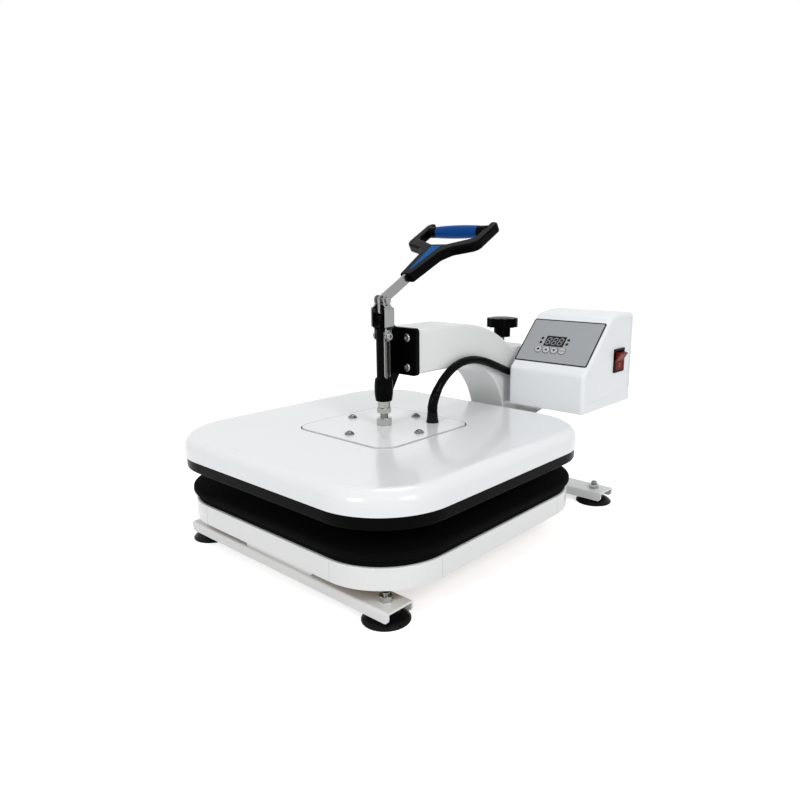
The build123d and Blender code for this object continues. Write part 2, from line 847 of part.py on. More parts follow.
# Lever: a flat bar with the pivot eye below the link pin, cranked to the rear
with BuildPart() as lever_bar:
    with BuildSketch(Plane.YZ):
        with Locations((press_y, link_pin_height)):
            Circle(lever_width / 2 + 0.5)
        with Locations((press_y, pivot_z)):
            Circle(lever_width / 2)
        with Locations((press_y, (pivot_z + link_pin_height) / 2)):
            Rectangle(lever_width, crank_radius)
        with Locations(Location((press_y, link_pin_height), lever_slope)):
            with Locations((handle_start / 2, 0)):
                Rectangle(handle_start, lever_width)
            with Locations((tang_end / 2, 0)):
                Rectangle(tang_end, tang_width)
        with Locations((press_y, pivot_z)):
            Circle(pivot_diameter / 2 + running_gap, mode=Mode.SUBTRACT)
        with Locations((press_y, link_pin_height)):
            Circle(link_pin_diameter / 2, mode=Mode.SUBTRACT)
    extrude(amount=lever_plate / 2, both=True)
save(lever_bar, "lever_bar")

# Pin through lever and link ears, with spacing shoulders and riveted heads
ear_outside = link_ear_half + link_plate + 0.2
with BuildPart() as link_pin:
    with BuildSketch(Plane.YZ):
        with Locations((press_y, link_pin_height)):
            Circle(link_pin_diameter / 2)
    extrude(amount=ear_outside + 1.6, both=True)
    with BuildSketch(Plane.YZ.offset(lever_plate / 2)):
        with Locations((press_y, link_pin_height)):
            Circle(3.5)
    extrude(amount=link_ear_half - lever_plate / 2 - 0.2)
    with BuildSketch(Plane.YZ.offset(ear_outside)):
        with Locations((press_y, link_pin_height)):
            Circle(link_pin_head / 2 - 0.8)
    extrude(amount=1.8)
    mirror(about=Plane.YZ)
save(link_pin, "link_pin")

# Stirrup handle: a socket on the lever, two arms and the core of the cross grip
grip_plane = Plane(
    origin=lever_frame.from_local_coords((0, grip_place, 0)),
    x_dir=(0, 1, 0),
    z_dir=(1, 0, 0),
)
arm_inner = handle_half - handle_arm
with BuildPart() as stirrup_handle:
    with BuildSketch(lever_frame):
        with BuildLine():
            edge_line = FilletPolyline(
                (0, handle_start),
                (handle_neck_half, handle_start),
                (handle_root_half, handle_root),
                (handle_root_half + 10, handle_root + 12),
                (handle_half, handle_fork + 1.5),
                (handle_half, handle_end),
                (arm_inner, handle_end),
                (arm_inner, handle_fork + 16),
                (13, handle_fork),
                (0, handle_fork),
                radius=[4, 12, 10, 14, handle_tip, handle_tip / 2, 9, 6],
            )
            Line(edge_line @ 1, edge_line @ 0)
        make_face()
        mirror(about=Plane.YZ)
    extrude(amount=handle_thick / 2, both=True)
    rims = stirrup_handle.faces().filter_by(Axis(lever_frame.origin, lever_frame.z_dir)).edges()
    fillet(rims, handle_round)
    for side in (-1, 1):
        with BuildSketch(grip_plane.offset(side * grip_half)):
            Circle(grip_collar)
        extrude(amount=side * (arm_inner - grip_half + 2))
    with BuildSketch(grip_plane):
        Circle(grip_core)
    extrude(amount=grip_half, both=True)
    with BuildSketch(Plane.YZ):
        with Locations(Location((press_y, link_pin_height), lever_slope)):
            with Locations(((handle_start + tang_end) / 2, 0)):
                Rectangle(tang_end - handle_start, tang_width)
    extrude(amount=lever_plate / 2, both=True, mode=Mode.SUBTRACT)
    with BuildSketch(lever_frame.offset(handle_thick / 2)) as inlay_outline:
        with BuildLine():
            Polyline(
                (0, inlay_start),
                (1, inlay_start),
                (inlay_half, inlay_end),
                (0, inlay_end - 2),
            )
        make_hull()
        mirror(about=Plane.YZ)
    extrude(amount=-inlay_depth, mode=Mode.SUBTRACT)
save(stirrup_handle, "stirrup_handle")

with BuildPart() as handle_inlay:
    extrude(inlay_outline.sketch, amount=-inlay_depth)
    extrude(inlay_outline.sketch, amount=inlay_proud)
save(handle_inlay, "handle_inlay")

with BuildPart() as handle_grip:
    with BuildSketch(lever_frame):
        with BuildLine():
            inner_low = (-grip_half, grip_place + grip_core)
            inner_high = (grip_half, grip_place + grip_core)
            core = Line(inner_low, inner_high)
            right = Line(core @ 1, (grip_half, grip_place + grip_radius - 0.8))
            swell = ThreePointArc(
                right @ 1,
                (0, grip_place + grip_radius + 0.3),
                (-grip_half, grip_place + grip_radius - 0.8),
            )
            Line(swell @ 1, core @ 0)
        make_face()
    revolve(axis=Axis(grip_plane.origin, (1, 0, 0)))
save(handle_grip, "handle_grip")

# Plunger in the barrel, with the pin that shows in the side slots
with BuildPart() as plunger:
    with BuildSketch(level(collar_top)):
        Circle(plunger_diameter / 2)
    extrude(amount=plunger_top - collar_top)
    chamfer(plunger.edges().group_by(Axis.Z)[-1], 1)
    with BuildSketch(level(collar_top)):
        Circle(rod_diameter / 2)
    extrude(amount=plunger_bore, mode=Mode.SUBTRACT)
    with BuildSketch(Plane.YZ):
        with Locations((press_y, plunger_pin_z)):
            Circle(plunger_pin_diameter / 2)
    extrude(amount=plunger_diameter, both=True, mode=Mode.SUBTRACT)
save(plunger, "plunger")

with BuildPart() as plunger_pin:
    with BuildSketch(Plane.YZ):
        with Locations((press_y, plunger_pin_z)):
            Circle(plunger_pin_diameter / 2)
    extrude(amount=link_foot_half - 0.2, both=True)
save(plunger_pin, "plunger_pin")

with BuildPart() as lock_collar:
    with BuildSketch(level(lock_top)):
        Circle(collar_diameter / 2)
        Circle(rod_diameter / 2, mode=Mode.SUBTRACT)
    extrude(amount=collar_height)
    outer_rims = lock_collar.edges().filter_by(lambda edge: edge.length > 3.2 * rod_diameter)
    chamfer(outer_rims, 0.6)
save(lock_collar, "lock_collar")

with BuildPart() as lock_nut:
    with Locations((0, press_y, lock_bottom)):
        add(make_nut(lock_across, lock_height, rod_diameter))
save(lock_nut, "lock_nut")

with BuildPart() as hub_nut:
    with Locations((0, press_y, cover_top)):
        add(make_nut(hub_across, hub_height, rod_diameter))
save(hub_nut, "hub_nut")

with BuildPart() as adjusting_rod:
    with BuildSketch(level(cover_top)):
        Circle(rod_diameter / 2)
    extrude(amount=collar_top + plunger_bore - cover_top)
save(adjusting_rod, "adjusting_rod")

# Heated platen, its blanket and the spacers that carry it under the cover plate
screw_places = [(0, cover_screw_reach), (0, -cover_screw_reach)]
screw_places += [(cover_screw_reach, 0), (-cover_screw_reach, 0)]
cover_bottom = cover_top - cover_height
cable_y = press_y + cable_reach
with BuildPart() as heating_platen:
    with BuildSketch(level(platen_bottom)):
        RectangleRounded(platen_side, platen_side, platen_corner)
    extrude(amount=platen_height)
    fillet(heating_platen.edges().group_by(Axis.Z)[0], 1.5)
    with BuildSketch(level(platen_top)):
        with Locations(*screw_places):
            Circle(cover_screw_shank / 2)
    extrude(amount=-screw_bite, mode=Mode.SUBTRACT)
save(heating_platen, "heating_platen")

with BuildPart() as platen_spacers:
    with BuildSketch(level(platen_top)):
        with Locations(*screw_places):
            Circle(spacer_diameter / 2)
            Circle(cover_screw_shank / 2, mode=Mode.SUBTRACT)
    extrude(amount=cover_bottom - platen_top)
save(platen_spacers, "platen_spacers")

with BuildPart() as heater_blanket:
    with BuildSketch(level(platen_top)):
        RectangleRounded(blanket_side, blanket_side, 60)
        with Locations(*screw_places):
            Circle(spacer_diameter / 2, mode=Mode.SUBTRACT)
        with Locations((cable_plane, cable_reach)):
            Circle(cable_diameter, mode=Mode.SUBTRACT)
    extrude(amount=blanket_height)
save(heater_blanket, "heater_blanket")

# White cap: a shell with a sunk seat for the cover plate
seat_side = cover_side + 2 * cover_groove
with BuildPart() as platen_cap:
    with BuildSketch(level(platen_top)):
        RectangleRounded(cap_side, cap_side, cap_corner)
    extrude(amount=cap_height)
    fillet(platen_cap.edges().group_by(Axis.Z)[-1], cap_edge)
    with BuildSketch(level(platen_top)):
        RectangleRounded(cap_side - 2 * cap_wall, cap_side - 2 * cap_wall, cap_corner - cap_wall)
    hollow = extrude(amount=cap_height - cap_wall, mode=Mode.PRIVATE)
    fillet_edges = hollow.edges().group_by(Axis.Z)[-1]
    add(hollow.fillet(cap_edge - cap_wall, fillet_edges), mode=Mode.SUBTRACT)
    with BuildSketch(level(cover_bottom - cap_wall)):
        RectangleRounded(
            seat_side + 2 * cap_wall, seat_side + 2 * cap_wall, cover_corner + cover_groove + cap_wall
        )
    extrude(amount=cap_top - cover_bottom + cap_wall)
    with BuildSketch(level(cover_bottom)):
        RectangleRounded(seat_side, seat_side, cover_corner + cover_groove)
    extrude(amount=cap_top - cover_bottom, mode=Mode.SUBTRACT)
    with BuildSketch(level(cover_bottom - cap_wall)):
        RectangleRounded(
            cover_side - 2 * cover_ledge, cover_side - 2 * cover_ledge, cover_corner - cover_ledge / 2
        )
    extrude(amount=cap_wall, mode=Mode.SUBTRACT)
save(platen_cap, "platen_cap")

with BuildPart() as cover_plate:
    with BuildSketch(level(cover_bottom)):
        RectangleRounded(cover_side, cover_side, cover_corner)
        with Locations(*screw_places):
            Circle(cover_screw_shank / 2, mode=Mode.SUBTRACT)
        with Locations((cable_plane, cable_reach)):
            Circle(cable_diameter / 2 + boot_gap + boot_wall, mode=Mode.SUBTRACT)
    extrude(amount=cover_height)
save(cover_plate, "cover_plate")

screw_length = cover_height + cover_bottom - platen_top + screw_bite
dome_rise = cover_screw_dome - screw_rim
dome_radius = ((cover_screw_head / 2) ** 2 + dome_rise**2) / (2 * dome_rise)
dome_angle = math.asin(cover_screw_head / 2 / dome_radius) / 2
dome_height = cover_screw_dome - dome_radius + dome_radius * math.cos(dome_angle)
dome_middle = (dome_radius * math.sin(dome_angle), dome_height)
with BuildPart() as cover_screw:
    with BuildSketch(Plane.XZ):
        with BuildLine():
            shank = Polyline(
                (0, -screw_length),
                (cover_screw_shank / 2, -screw_length),
                (cover_screw_shank / 2, 0),
                (cover_screw_head / 2, 0),
                (cover_screw_head / 2, screw_rim),
            )
            dome = ThreePointArc(shank @ 1, dome_middle, (0, cover_screw_dome))
            Line(dome @ 1, shank @ 0)
        make_face()
    revolve(axis=Axis.Z)
    with BuildSketch(Plane.XY.offset(cover_screw_dome)):
        RegularPolygon(2, 6, major_radius=False)
    extrude(amount=-2.4, mode=Mode.SUBTRACT)
with BuildPart() as cover_screws:
    with Locations(*[(x, press_y + y, cover_top) for x, y in screw_places]):
        add(cover_screw.part)
save(cover_screws, "cover_screws")

# Cable boot on the cover plate, loose round the cable so that the head can travel
boot_bore = cable_diameter / 2 + boot_gap
boot_top = cover_top + boot_height
with BuildPart() as cable_boot:
    with BuildSketch(Plane(origin=(cable_plane, cable_y, 0), x_dir=(1, 0, 0), z_dir=(0, -1, 0))):
        with BuildLine():
            foot_side = Polyline(
                (boot_bore, cover_bottom),
                (boot_bore + boot_wall, cover_bottom),
                (boot_bore + boot_wall, cover_top),
                (boot_foot / 2, cover_top),
            )
            taper = ThreePointArc(
                foot_side @ 1,
                (boot_bore + boot_wall, cover_top + boot_height / 3),
                (boot_bore + boot_tip, boot_top),
            )
            Polyline(taper @ 1, (boot_bore, boot_top), foot_side @ 0)
        make_face()
    revolve(axis=Axis((cable_plane, cable_y, 0), (0, 0, 1)))
save(cable_boot, "cable_boot")

# Heater cable: up from the boot, over beside the arm and into the left wall of the box
cable_points = [
    (cable_plane, press_y + cable_reach, 128.0),
    (cable_plane, press_y + cable_reach, 169.0),
    (cable_plane, press_y + 66.0, 192.0),
    (cable_plane, press_y + 93.0, 210.5),
    (cable_plane, press_y + 126.0, 216.6),
    (cable_plane, press_y + 160.0, 210.5),
    (cable_plane, press_y + 192.0, 198.5),
    (cable_plane, box_front + 10.0, 186.5),
    (cable_plane + 14.0, box_front + 29.5, 180.5),
]


def route_radii(points, straight):
    """Tangent arcs for the corners of a route whose start stays straight."""
    vectors = [Vector(*point) for point in points]
    radii = []
    for before, corner, after in zip(vectors, vectors[1:], vectors[2:]):
        into = corner - before
        out = after - corner
        turn = into.get_angle(out)
        reach = 0.45 * min(into.length, out.length)
        if not radii:
            reach = min(reach, into.length - straight)
        radii.append(reach / math.tan(math.radians(turn / 2)))
    return radii


cable_straight = boot_top + boot_gap - cable_points[0][2]
cable_radii = route_radii(cable_points, cable_straight)
print("cable radii", [round(radius) for radius in cable_radii])
with BuildPart() as heater_cable:
    with BuildLine():
        cable_path = FilletPolyline(*cable_points, radius=cable_radii)
    with BuildSketch(Plane(origin=cable_path @ 0, z_dir=cable_path % 0)):
        Circle(cable_diameter / 2)
    sweep()
print("cable volume", heater_cable.part.volume)
print("section times length", math.pi * cable_diameter**2 / 4 * cable_path.length)
save(heater_cable, "heater_cable")

# Gland where the cable slants through the wall of the box
gland_into = (Vector(*cable_points[-1]) - Vector(*cable_points[-2])).normalized()
wall_share = (box_left - cable_plane) / (cable_points[-1][0] - cable_plane)
gland_centre = Vector(*cable_points[-2]) + (
    Vector(*cable_points[-1]) - Vector(*cable_points[-2])
) * wall_share
gland_plane = Plane(origin=gland_centre, z_dir=gland_into)
with BuildPart() as cable_gland:
    with BuildSketch(gland_plane.offset(-gland_length * 0.35)):
        Circle(gland_diameter / 2)
        Circle(cable_diameter / 2, mode=Mode.SUBTRACT)
    extrude(amount=gland_length)
save(cable_gland, "cable_gland")

# Bracket that holds the box beside the sleeve
tray_screws = []
for screw_x in (box_left + tray_screw_inset, bracket_length - tray_screw_inset):
    for side in (-1, 1):
        tray_screws.append((screw_x, post_y + side * (bracket_width / 2 - tray_screw_inset)))
with BuildPart() as box_bracket:
    with BuildSketch(post_level(box_bottom - bracket_plate)):
        with Locations((bracket_length / 2, 0)):
            Rectangle(bracket_length, bracket_width)
    extrude(amount=bracket_plate)
    fillet(box_bracket.edges().filter_by(Axis.Z).group_by(Axis.X)[-1], bracket_corner)
    with BuildSketch(Plane(origin=(0, post_y, 0), x_dir=(1, 0, 0), z_dir=(0, -1, 0))):
        with BuildLine():
            Polyline(
                (0, box_bottom - bracket_plate),
                (bracket_length - bracket_toe, box_bottom - bracket_plate),
                (sleeve_radius + bracket_toe, box_bottom - bracket_depth),
                (0, box_bottom - bracket_depth),
                close=True,
            )
        make_face()
    extrude(amount=bracket_rib / 2, both=True)
    with BuildSketch(post_level(box_bottom - 1.5 * bracket_depth)):
        Circle(sleeve_radius)
    extrude(amount=2 * bracket_depth, mode=Mode.SUBTRACT)
    split(bisect_by=Plane.YZ.offset(arm_half), keep=Keep.TOP)
    with Locations(*[(x, y, box_bottom) for x, y in tray_screws]):
        Hole(box_screw_diameter / 2, depth=bracket_plate)
save(box_bracket, "box_bracket")

# Control box: a moulded shell over a shallow tray


def box_outline(inset=0):
    """Side outline of the shell: upright front, sloping panel, slightly crowned top."""
    with BuildSketch(Plane.YZ.offset(box_left)) as outline:
        with BuildLine():
            base = Line((box_front, tray_split), (box_back, tray_split))
            back = Line(base @ 1, (box_back, box_bottom + box_back_height))
            crown = ThreePointArc(
                back @ 1,
                (
                    (box_back + box_front + box_slope_run) / 2,
                    (slope_end + box_bottom + box_back_height) / 2 + box_crown,
                ),
                (box_front + box_slope_run, slope_end),
            )
            slope = Line(crown @ 1, (box_front, slope_start))
            Line(slope @ 1, base @ 0)
        make_face()
        if inset:
            offset(amount=-inset, mode=Mode.REPLACE)
            fillet(outline.vertices(), side_corner)
    return outline.sketch


switch_y = box_front + switch_reach
switch_x = box_right - side_step
switch_plane = Plane(origin=(switch_x, switch_y, switch_middle), x_dir=(0, 1, 0), z_dir=(1, 0, 0))
rocker_centre = Vector(switch_x - 1, switch_y, switch_middle)
pin_plane = Plane(origin=rocker_centre, x_dir=(1, 0, 0), z_dir=(0, -1, 0))
inlet_plane = Plane(origin=(box_middle, box_back, inlet_middle), x_dir=(-1, 0, 0), z_dir=(0, 1, 0))
housing_width = bezel_width - 2 * bezel_rim + 2
housing_height = bezel_height - 2 * bezel_rim + 2
button_xs = [button_first + index * button_pitch for index in range(button_count)]
led_places = []
for led_x in (led_left_column, led_right_column):
    for step in (0, 1):
        led_places.append((led_x, led_low + step * led_pitch))
display_centre = (display_left + display_width / 2, display_low + display_height / 2)
overlay_centre = (overlay_left + overlay_width / 2, overlay_low + overlay_height / 2)
with BuildPart() as box_shell:
    extrude(box_outline(), amount=box_width)
    ridges = box_shell.edges().filter_by(Axis.X).filter_by(lambda edge: edge.center().Z > tray_split + 1)
    fillet(ridges, box_edge + 2)
    side_faces = box_shell.faces().filter_by(Axis.X)
    side_edges = side_faces.edges().filter_by(lambda edge: edge.center().Z > tray_split + 0.1)
    fillet(side_edges, box_edge)
    floor_face = box_shell.faces().sort_by(Axis.Z)[0]
    offset(amount=-box_wall, openings=floor_face)
    side_panel = box_outline(side_rim)
    extrude(side_panel, amount=side_step, mode=Mode.SUBTRACT)
    right_panel = side_panel.moved(Location((box_width - side_step, 0, 0)))
    extrude(right_panel, amount=side_step, mode=Mode.SUBTRACT)
    with BuildSketch(switch_plane):
        Rectangle(housing_width, housing_height)
    extrude(amount=-box_wall * 2, mode=Mode.SUBTRACT)
    with BuildSketch(inlet_plane):
        Rectangle(inlet_cup_width, inlet_cup_height)
    extrude(amount=-box_wall * 2, mode=Mode.SUBTRACT)
    with BuildSketch(panel_plane):
        with Locations(display_centre):
            Rectangle(display_width, display_height)
        with Locations(*[(x, button_low) for x in button_xs]):
            Circle(button_diameter / 2 + button_gap)
        with Locations(*led_places):
            Circle(led_diameter / 2)
    extrude(amount=-box_wall * 2, mode=Mode.SUBTRACT)
    with BuildSketch(gland_plane):
        Circle(gland_diameter / 2)
    extrude(amount=gland_length, both=True, mode=Mode.SUBTRACT)
save(box_shell, "box_shell")

with BuildPart() as box_tray:
    with BuildSketch(Plane(origin=(box_middle, (box_front + box_back) / 2, box_bottom))):
        RectangleRounded(box_width, box_depth, box_edge)
    extrude(amount=box_tray_height)
    fillet(box_tray.edges().group_by(Axis.Z)[0], 1.5)
    with BuildSketch(Plane(origin=(box_middle, (box_front + box_back) / 2, box_bottom + box_wall))):
        RectangleRounded(box_width - 2 * box_wall, box_depth - 2 * box_wall, box_edge - box_wall)
    extrude(amount=box_tray_height, mode=Mode.SUBTRACT)
    with Locations(*[(x, y, box_bottom + box_wall) for x, y in tray_screws]):
        Hole(box_screw_diameter / 2, depth=box_wall)
save(box_tray, "box_tray")

# Screws from below: bracket plate to tray
with BuildPart() as box_screws:
    with BuildSketch(Plane.XY.offset(box_bottom - bracket_plate)):
        with Locations(*tray_screws):
            Circle(box_screw_diameter / 2)
    extrude(amount=bracket_plate + box_wall + 3)
    with BuildSketch(Plane.XY.offset(box_bottom - bracket_plate)):
        with Locations(*tray_screws):
            Circle(box_screw_diameter)
    extrude(amount=-3)
    fillet(box_screws.edges().group_by(Axis.Z)[0], 1)
save(box_screws, "box_screws")

# Panel: the printed overlay, the display, four lamps, and the board behind them
with BuildPart() as panel_overlay:
    with BuildSketch(panel_plane):
        with Locations(overlay_centre):
            RectangleRounded(overlay_width, overlay_height, overlay_corner)
        with Locations(display_centre):
            Rectangle(display_width, display_height, mode=Mode.SUBTRACT)
        with Locations(*[(x, button_low) for x in button_xs]):
            Circle(button_diameter / 2 + button_gap, mode=Mode.SUBTRACT)
        with Locations(*led_places):
            Circle(led_diameter / 2, mode=Mode.SUBTRACT)
    extrude(amount=overlay_thick)
save(panel_overlay, "panel_overlay")

with BuildPart() as display_window:
    with BuildSketch(panel_plane.offset(-board_depth)):
        with Locations(display_centre):
            Rectangle(display_width, display_height)
    extrude(amount=board_depth + overlay_thick + 0.1)
save(display_window, "display_window")

with BuildPart() as panel_lamps:
    with BuildSketch(panel_plane.offset(-board_depth)):
        with Locations(*led_places):
            Circle(led_diameter / 2)
    extrude(amount=board_depth + overlay_thick + 0.4)
save(panel_lamps, "panel_lamps")

with BuildPart() as control_board:
    with BuildSketch(panel_plane.offset(-board_depth)):
        with Locations(overlay_centre):
            Rectangle(overlay_width - 12, overlay_height - 14)
    extrude(amount=-board_thick)
    with BuildSketch(panel_plane.offset(-board_depth)):
        with Locations(overlay_centre):
            with GridLocations(overlay_width - 20, overlay_height - 22, 2, 2):
                Circle(2.5)
    extrude(amount=board_depth - box_wall)
save(control_board, "control_board")

button_names = ("set_button", "plus_button", "minus_button", "start_button")
for button_name, button_x in zip(button_names, button_xs):
    button_bottom = button_travel + 0.4 - board_depth
    with BuildPart() as button:
        with BuildSketch(panel_plane.offset(button_bottom)):
            with Locations((button_x, button_low)):
                Circle(button_diameter / 2)
        extrude(amount=overlay_thick + button_proud - button_bottom)
        top_rim = button.edges().sort_by(Axis(panel_plane.origin, panel_plane.z_dir))[-1]
        fillet(top_rim, 0.5)
    save(button, button_name)

# Power switch: a black housing with a rim, and a red rocker tilted out at the top
opening_width = bezel_width - 2 * bezel_rim
opening_height = bezel_height - 2 * bezel_rim
with BuildPart() as switch_bezel:
    with BuildSketch(switch_plane):
        RectangleRounded(bezel_width, bezel_height, 1.5)
    extrude(amount=bezel_thick)
    with BuildSketch(switch_plane):
        Rectangle(housing_width, housing_height)
    extrude(amount=-switch_depth)
    with BuildSketch(switch_plane.offset(bezel_thick)):
        Rectangle(opening_width, opening_height)
    extrude(amount=-(switch_depth + bezel_thick - 3), mode=Mode.SUBTRACT)
    with BuildSketch(pin_plane):
        Circle(rocker_pin / 2)
    extrude(amount=opening_width / 2 + 0.5, both=True)
save(switch_bezel, "switch_bezel")

rocker_out = (math.cos(math.radians(rocker_tilt)), 0, -math.sin(math.radians(rocker_tilt)))
rocker_plane = Plane(origin=rocker_centre, x_dir=rocker_out, z_dir=(0, -1, 0))
rocker_half = opening_height / 2 - rocker_end_gap
with BuildPart() as power_rocker:
    with BuildSketch(rocker_plane):
        with BuildLine():
            Polyline(
                (-rocker_back, -rocker_half * 0.7),
                (0, -rocker_half),
                (rocker_rise, -rocker_half),
                (rocker_rise * 0.45, 0),
                (rocker_rise, rocker_half),
                (0, rocker_half),
                (-rocker_back, rocker_half * 0.7),
                close=True,
            )
        make_face()
    extrude(amount=opening_width / 2 - rocker_gap, both=True)
    with BuildSketch(rocker_plane):
        Circle(rocker_pin / 2 + running_gap)
    extrude(amount=opening_width / 2, both=True, mode=Mode.SUBTRACT)
save(power_rocker, "power_rocker")

# Mains inlet on the rear wall: flange, cup and three pins
with BuildPart() as mains_inlet:
    with BuildSketch(inlet_plane):
        RectangleRounded(inlet_width, inlet_height, 5)
        with GridLocations(inlet_width - 10, 1, 2, 1):
            Circle(1.7, mode=Mode.SUBTRACT)
    extrude(amount=inlet_thick)
    with BuildSketch(inlet_plane):
        Rectangle(inlet_cup_width, inlet_cup_height)
    extrude(amount=-inlet_cup_depth)
    with BuildSketch(inlet_plane.offset(inlet_thick)):
        RectangleRounded(inlet_cup_width - 4, inlet_cup_height - 4, 1.5)
    extrude(amount=-(inlet_cup_depth + inlet_thick - 2), mode=Mode.SUBTRACT)
    with BuildSketch(inlet_plane.offset(2 - inlet_cup_depth)):
        with Locations((-7, -2), (7, -2), (0, 2)):
            Rectangle(2, 4)
    extrude(amount=inlet_cup_depth - 7)
save(mains_inlet, "mains_inlet")

# Lock knob and its stud, threaded down through the sleeve cap
def flute_ring(radius, count, flute_radius, offset_out):
    """A circle with flutes cut round its rim."""
    with BuildSketch(post_level(0)) as ring:
        Circle(radius)
        with PolarLocations(radius + offset_out, count):
            Circle(flute_radius, mode=Mode.SUBTRACT)
    return ring.sketch


knob_top = knob_bottom + knob_hub_height + knob_head_height
with BuildPart() as star_knob:
    hub = flute_ring(knob_hub_diameter / 2, knob_flutes, 1.6, 0.8)
    head = flute_ring(knob_diameter / 2, knob_flutes, 3.6, 1.6)
    extrude(hub.moved(Location((0, 0, knob_bottom))), amount=knob_hub_height)
    extrude(head.moved(Location((0, 0, knob_bottom + knob_hub_height))), amount=knob_head_height)
    with BuildSketch(Plane(origin=(0, post_y, 0), x_dir=(1, 0, 0), z_dir=(0, -1, 0))):
        with BuildLine():
            crown = ThreePointArc(
                (0, knob_top), (knob_diameter / 4, knob_top - 0.4), (knob_diameter / 2, knob_top - 2)
            )
            Polyline(crown @ 1, (knob_diameter / 2 + 1, knob_top + 1), (0, knob_top + 1), crown @ 0)
        make_face()
    revolve(axis=Axis((0, post_y, 0), (0, 0, 1)), mode=Mode.SUBTRACT)
    with BuildSketch(post_level(knob_bottom)):
        Circle(knob_stud / 2)
    extrude(amount=knob_hub_height, mode=Mode.SUBTRACT)
save(star_knob, "star_knob")

with BuildPart() as knob_screw:
    with BuildSketch(post_level(sleeve_top - knob_stud_depth)):
        Circle(knob_stud / 2)
    extrude(amount=knob_stud_depth + knob_gap + knob_hub_height)
    chamfer(knob_screw.edges().group_by(Axis.Z)[0], 0.8)
save(knob_screw, "knob_screw")
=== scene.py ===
"""Looks of the swing-away heat press: finishes, foam, panel, cable, light and camera."""

import math

import bmesh
import bpy
from mathutils import Euler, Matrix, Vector, noise


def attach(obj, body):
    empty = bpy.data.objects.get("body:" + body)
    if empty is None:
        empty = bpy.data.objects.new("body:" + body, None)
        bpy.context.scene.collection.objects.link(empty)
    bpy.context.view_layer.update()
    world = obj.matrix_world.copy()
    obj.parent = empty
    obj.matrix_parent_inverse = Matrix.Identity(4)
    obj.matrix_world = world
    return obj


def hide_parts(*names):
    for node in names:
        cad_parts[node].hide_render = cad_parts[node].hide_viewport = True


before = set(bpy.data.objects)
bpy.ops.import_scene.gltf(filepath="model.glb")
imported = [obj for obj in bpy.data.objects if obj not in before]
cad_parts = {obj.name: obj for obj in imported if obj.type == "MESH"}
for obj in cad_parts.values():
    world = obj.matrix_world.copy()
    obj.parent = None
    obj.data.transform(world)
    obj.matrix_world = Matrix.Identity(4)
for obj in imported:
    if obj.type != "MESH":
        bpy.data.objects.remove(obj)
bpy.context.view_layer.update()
scene = bpy.context.scene
MM = 0.001

# Places on the machine, in millimetres as the drawings give them
press_y = -79.5
table_middle = Vector((0, press_y, 0))
panel_corner = Vector((44.0, 132.5, 195.0))
panel_across = Vector((1, 0, 0))
panel_up = Vector((0, math.sqrt(0.5), math.sqrt(0.5)))
panel_out = Vector((0, -math.sqrt(0.5), math.sqrt(0.5)))
film_middle = (60.25, 54.0)
film_half = (58.25, 39.0)
film_corner = 3.0
film_line_inside = 1.9
window_middle = (53.0, 53.75)
rocker_pivot = Vector((164.2, 233.5, 206.0))
rocker_tilt = math.radians(15)
rocker_out = Vector((math.cos(rocker_tilt), 0, -math.sin(rocker_tilt)))
rocker_up = Vector((math.sin(rocker_tilt), 0, math.cos(rocker_tilt)))
rocker_rise = 7.0
rocker_half = 12.4
rocker_dip = 0.45

# The column's side slot: half its width, the centre of its round end, its top, and the band of
# painted highlight along its edges
slot_half = 4.5
slot_round = 208.5
slot_top = 262.0
highlight_inside = 0.3
highlight_outside = 0.7

# The cover plate in the cap: half its side, its corner, the seam round it where shade is painted,
# and the width of the thin dark line of painted shade on the plate's edge
cover_half = 80.0
cover_corner = 22.0
seam_from = 0.05
seam_to = 1.35
edge_shade_width = 0.8

# Foam sheets of the lower table
pad_half = 194.0
pad_corner = 83.0
pad_bottom = 69.0
pad_top = 78.0
sponge_half = 189.0
sponge_corner = 78.0
sponge_bottom = 61.4
side_wave = 46
top_wave = 70

# Thread of the studs, the pressure rod and the knob's screw, whose grooves get painted shade
thread_pitch = 1.5

# Camera: where it stands, how it is turned, its lens and the shift that frames the machine
camera_place = Vector((592.81, -668.46, 358.01))
camera_tilt = math.radians(77.63)
camera_turn = math.radians(40.59)
lens_length = 30.31
lens_shift = -0.0461


def place_camera():
    """The camera of the photograph, in the machine's own frame."""
    lens = bpy.data.cameras.new("photograph")
    lens.sensor_width = 36
    lens.lens = lens_length
    lens.shift_x = lens_shift
    lens.clip_start = 0.01
    lens.clip_end = 30
    camera = bpy.data.objects.new("photograph", lens)
    camera.location = camera_place * MM
    camera.rotation_euler = (camera_tilt, 0, camera_turn)
    scene.collection.objects.link(camera)
    scene.camera = camera


# Small helpers for shader trees
def add_node(tree, kind, label, **values):
    """A node with its settings, and with plain values for the sockets that are named."""
    made = tree.nodes.new(kind)
    made.label = label
    for name, value in values.items():
        socket = made.inputs.get(name.replace("_", " "))
        if socket is not None:
            socket.default_value = value
        else:
            setattr(made, name, value)
    return made


def arithmetic(tree, operation, first, second, label):
    """One step of arithmetic. Each side is a socket or a plain number."""
    made = add_node(tree, "ShaderNodeMath", label, operation=operation)
    for place, side in enumerate((first, second)):
        if isinstance(side, (int, float)):
            made.inputs[place].default_value = side
        else:
            tree.links.new(side, made.inputs[place])
    return made.outputs[0]


def all_of(tree, tests, label):
    """1 where every test is 1."""
    passed = tests[0]
    for test in tests[1:]:
        passed = arithmetic(tree, "MULTIPLY", passed, test, label)
    return passed


def diagonal(tree, first, second, label):
    """Length of the diagonal over two distances at right angles."""
    squares = [arithmetic(tree, "POWER", side, 2.0, "squared") for side in (first, second)]
    total = arithmetic(tree, "ADD", squares[0], squares[1], "both squares")
    return arithmetic(tree, "SQRT", total, 0.0, label)


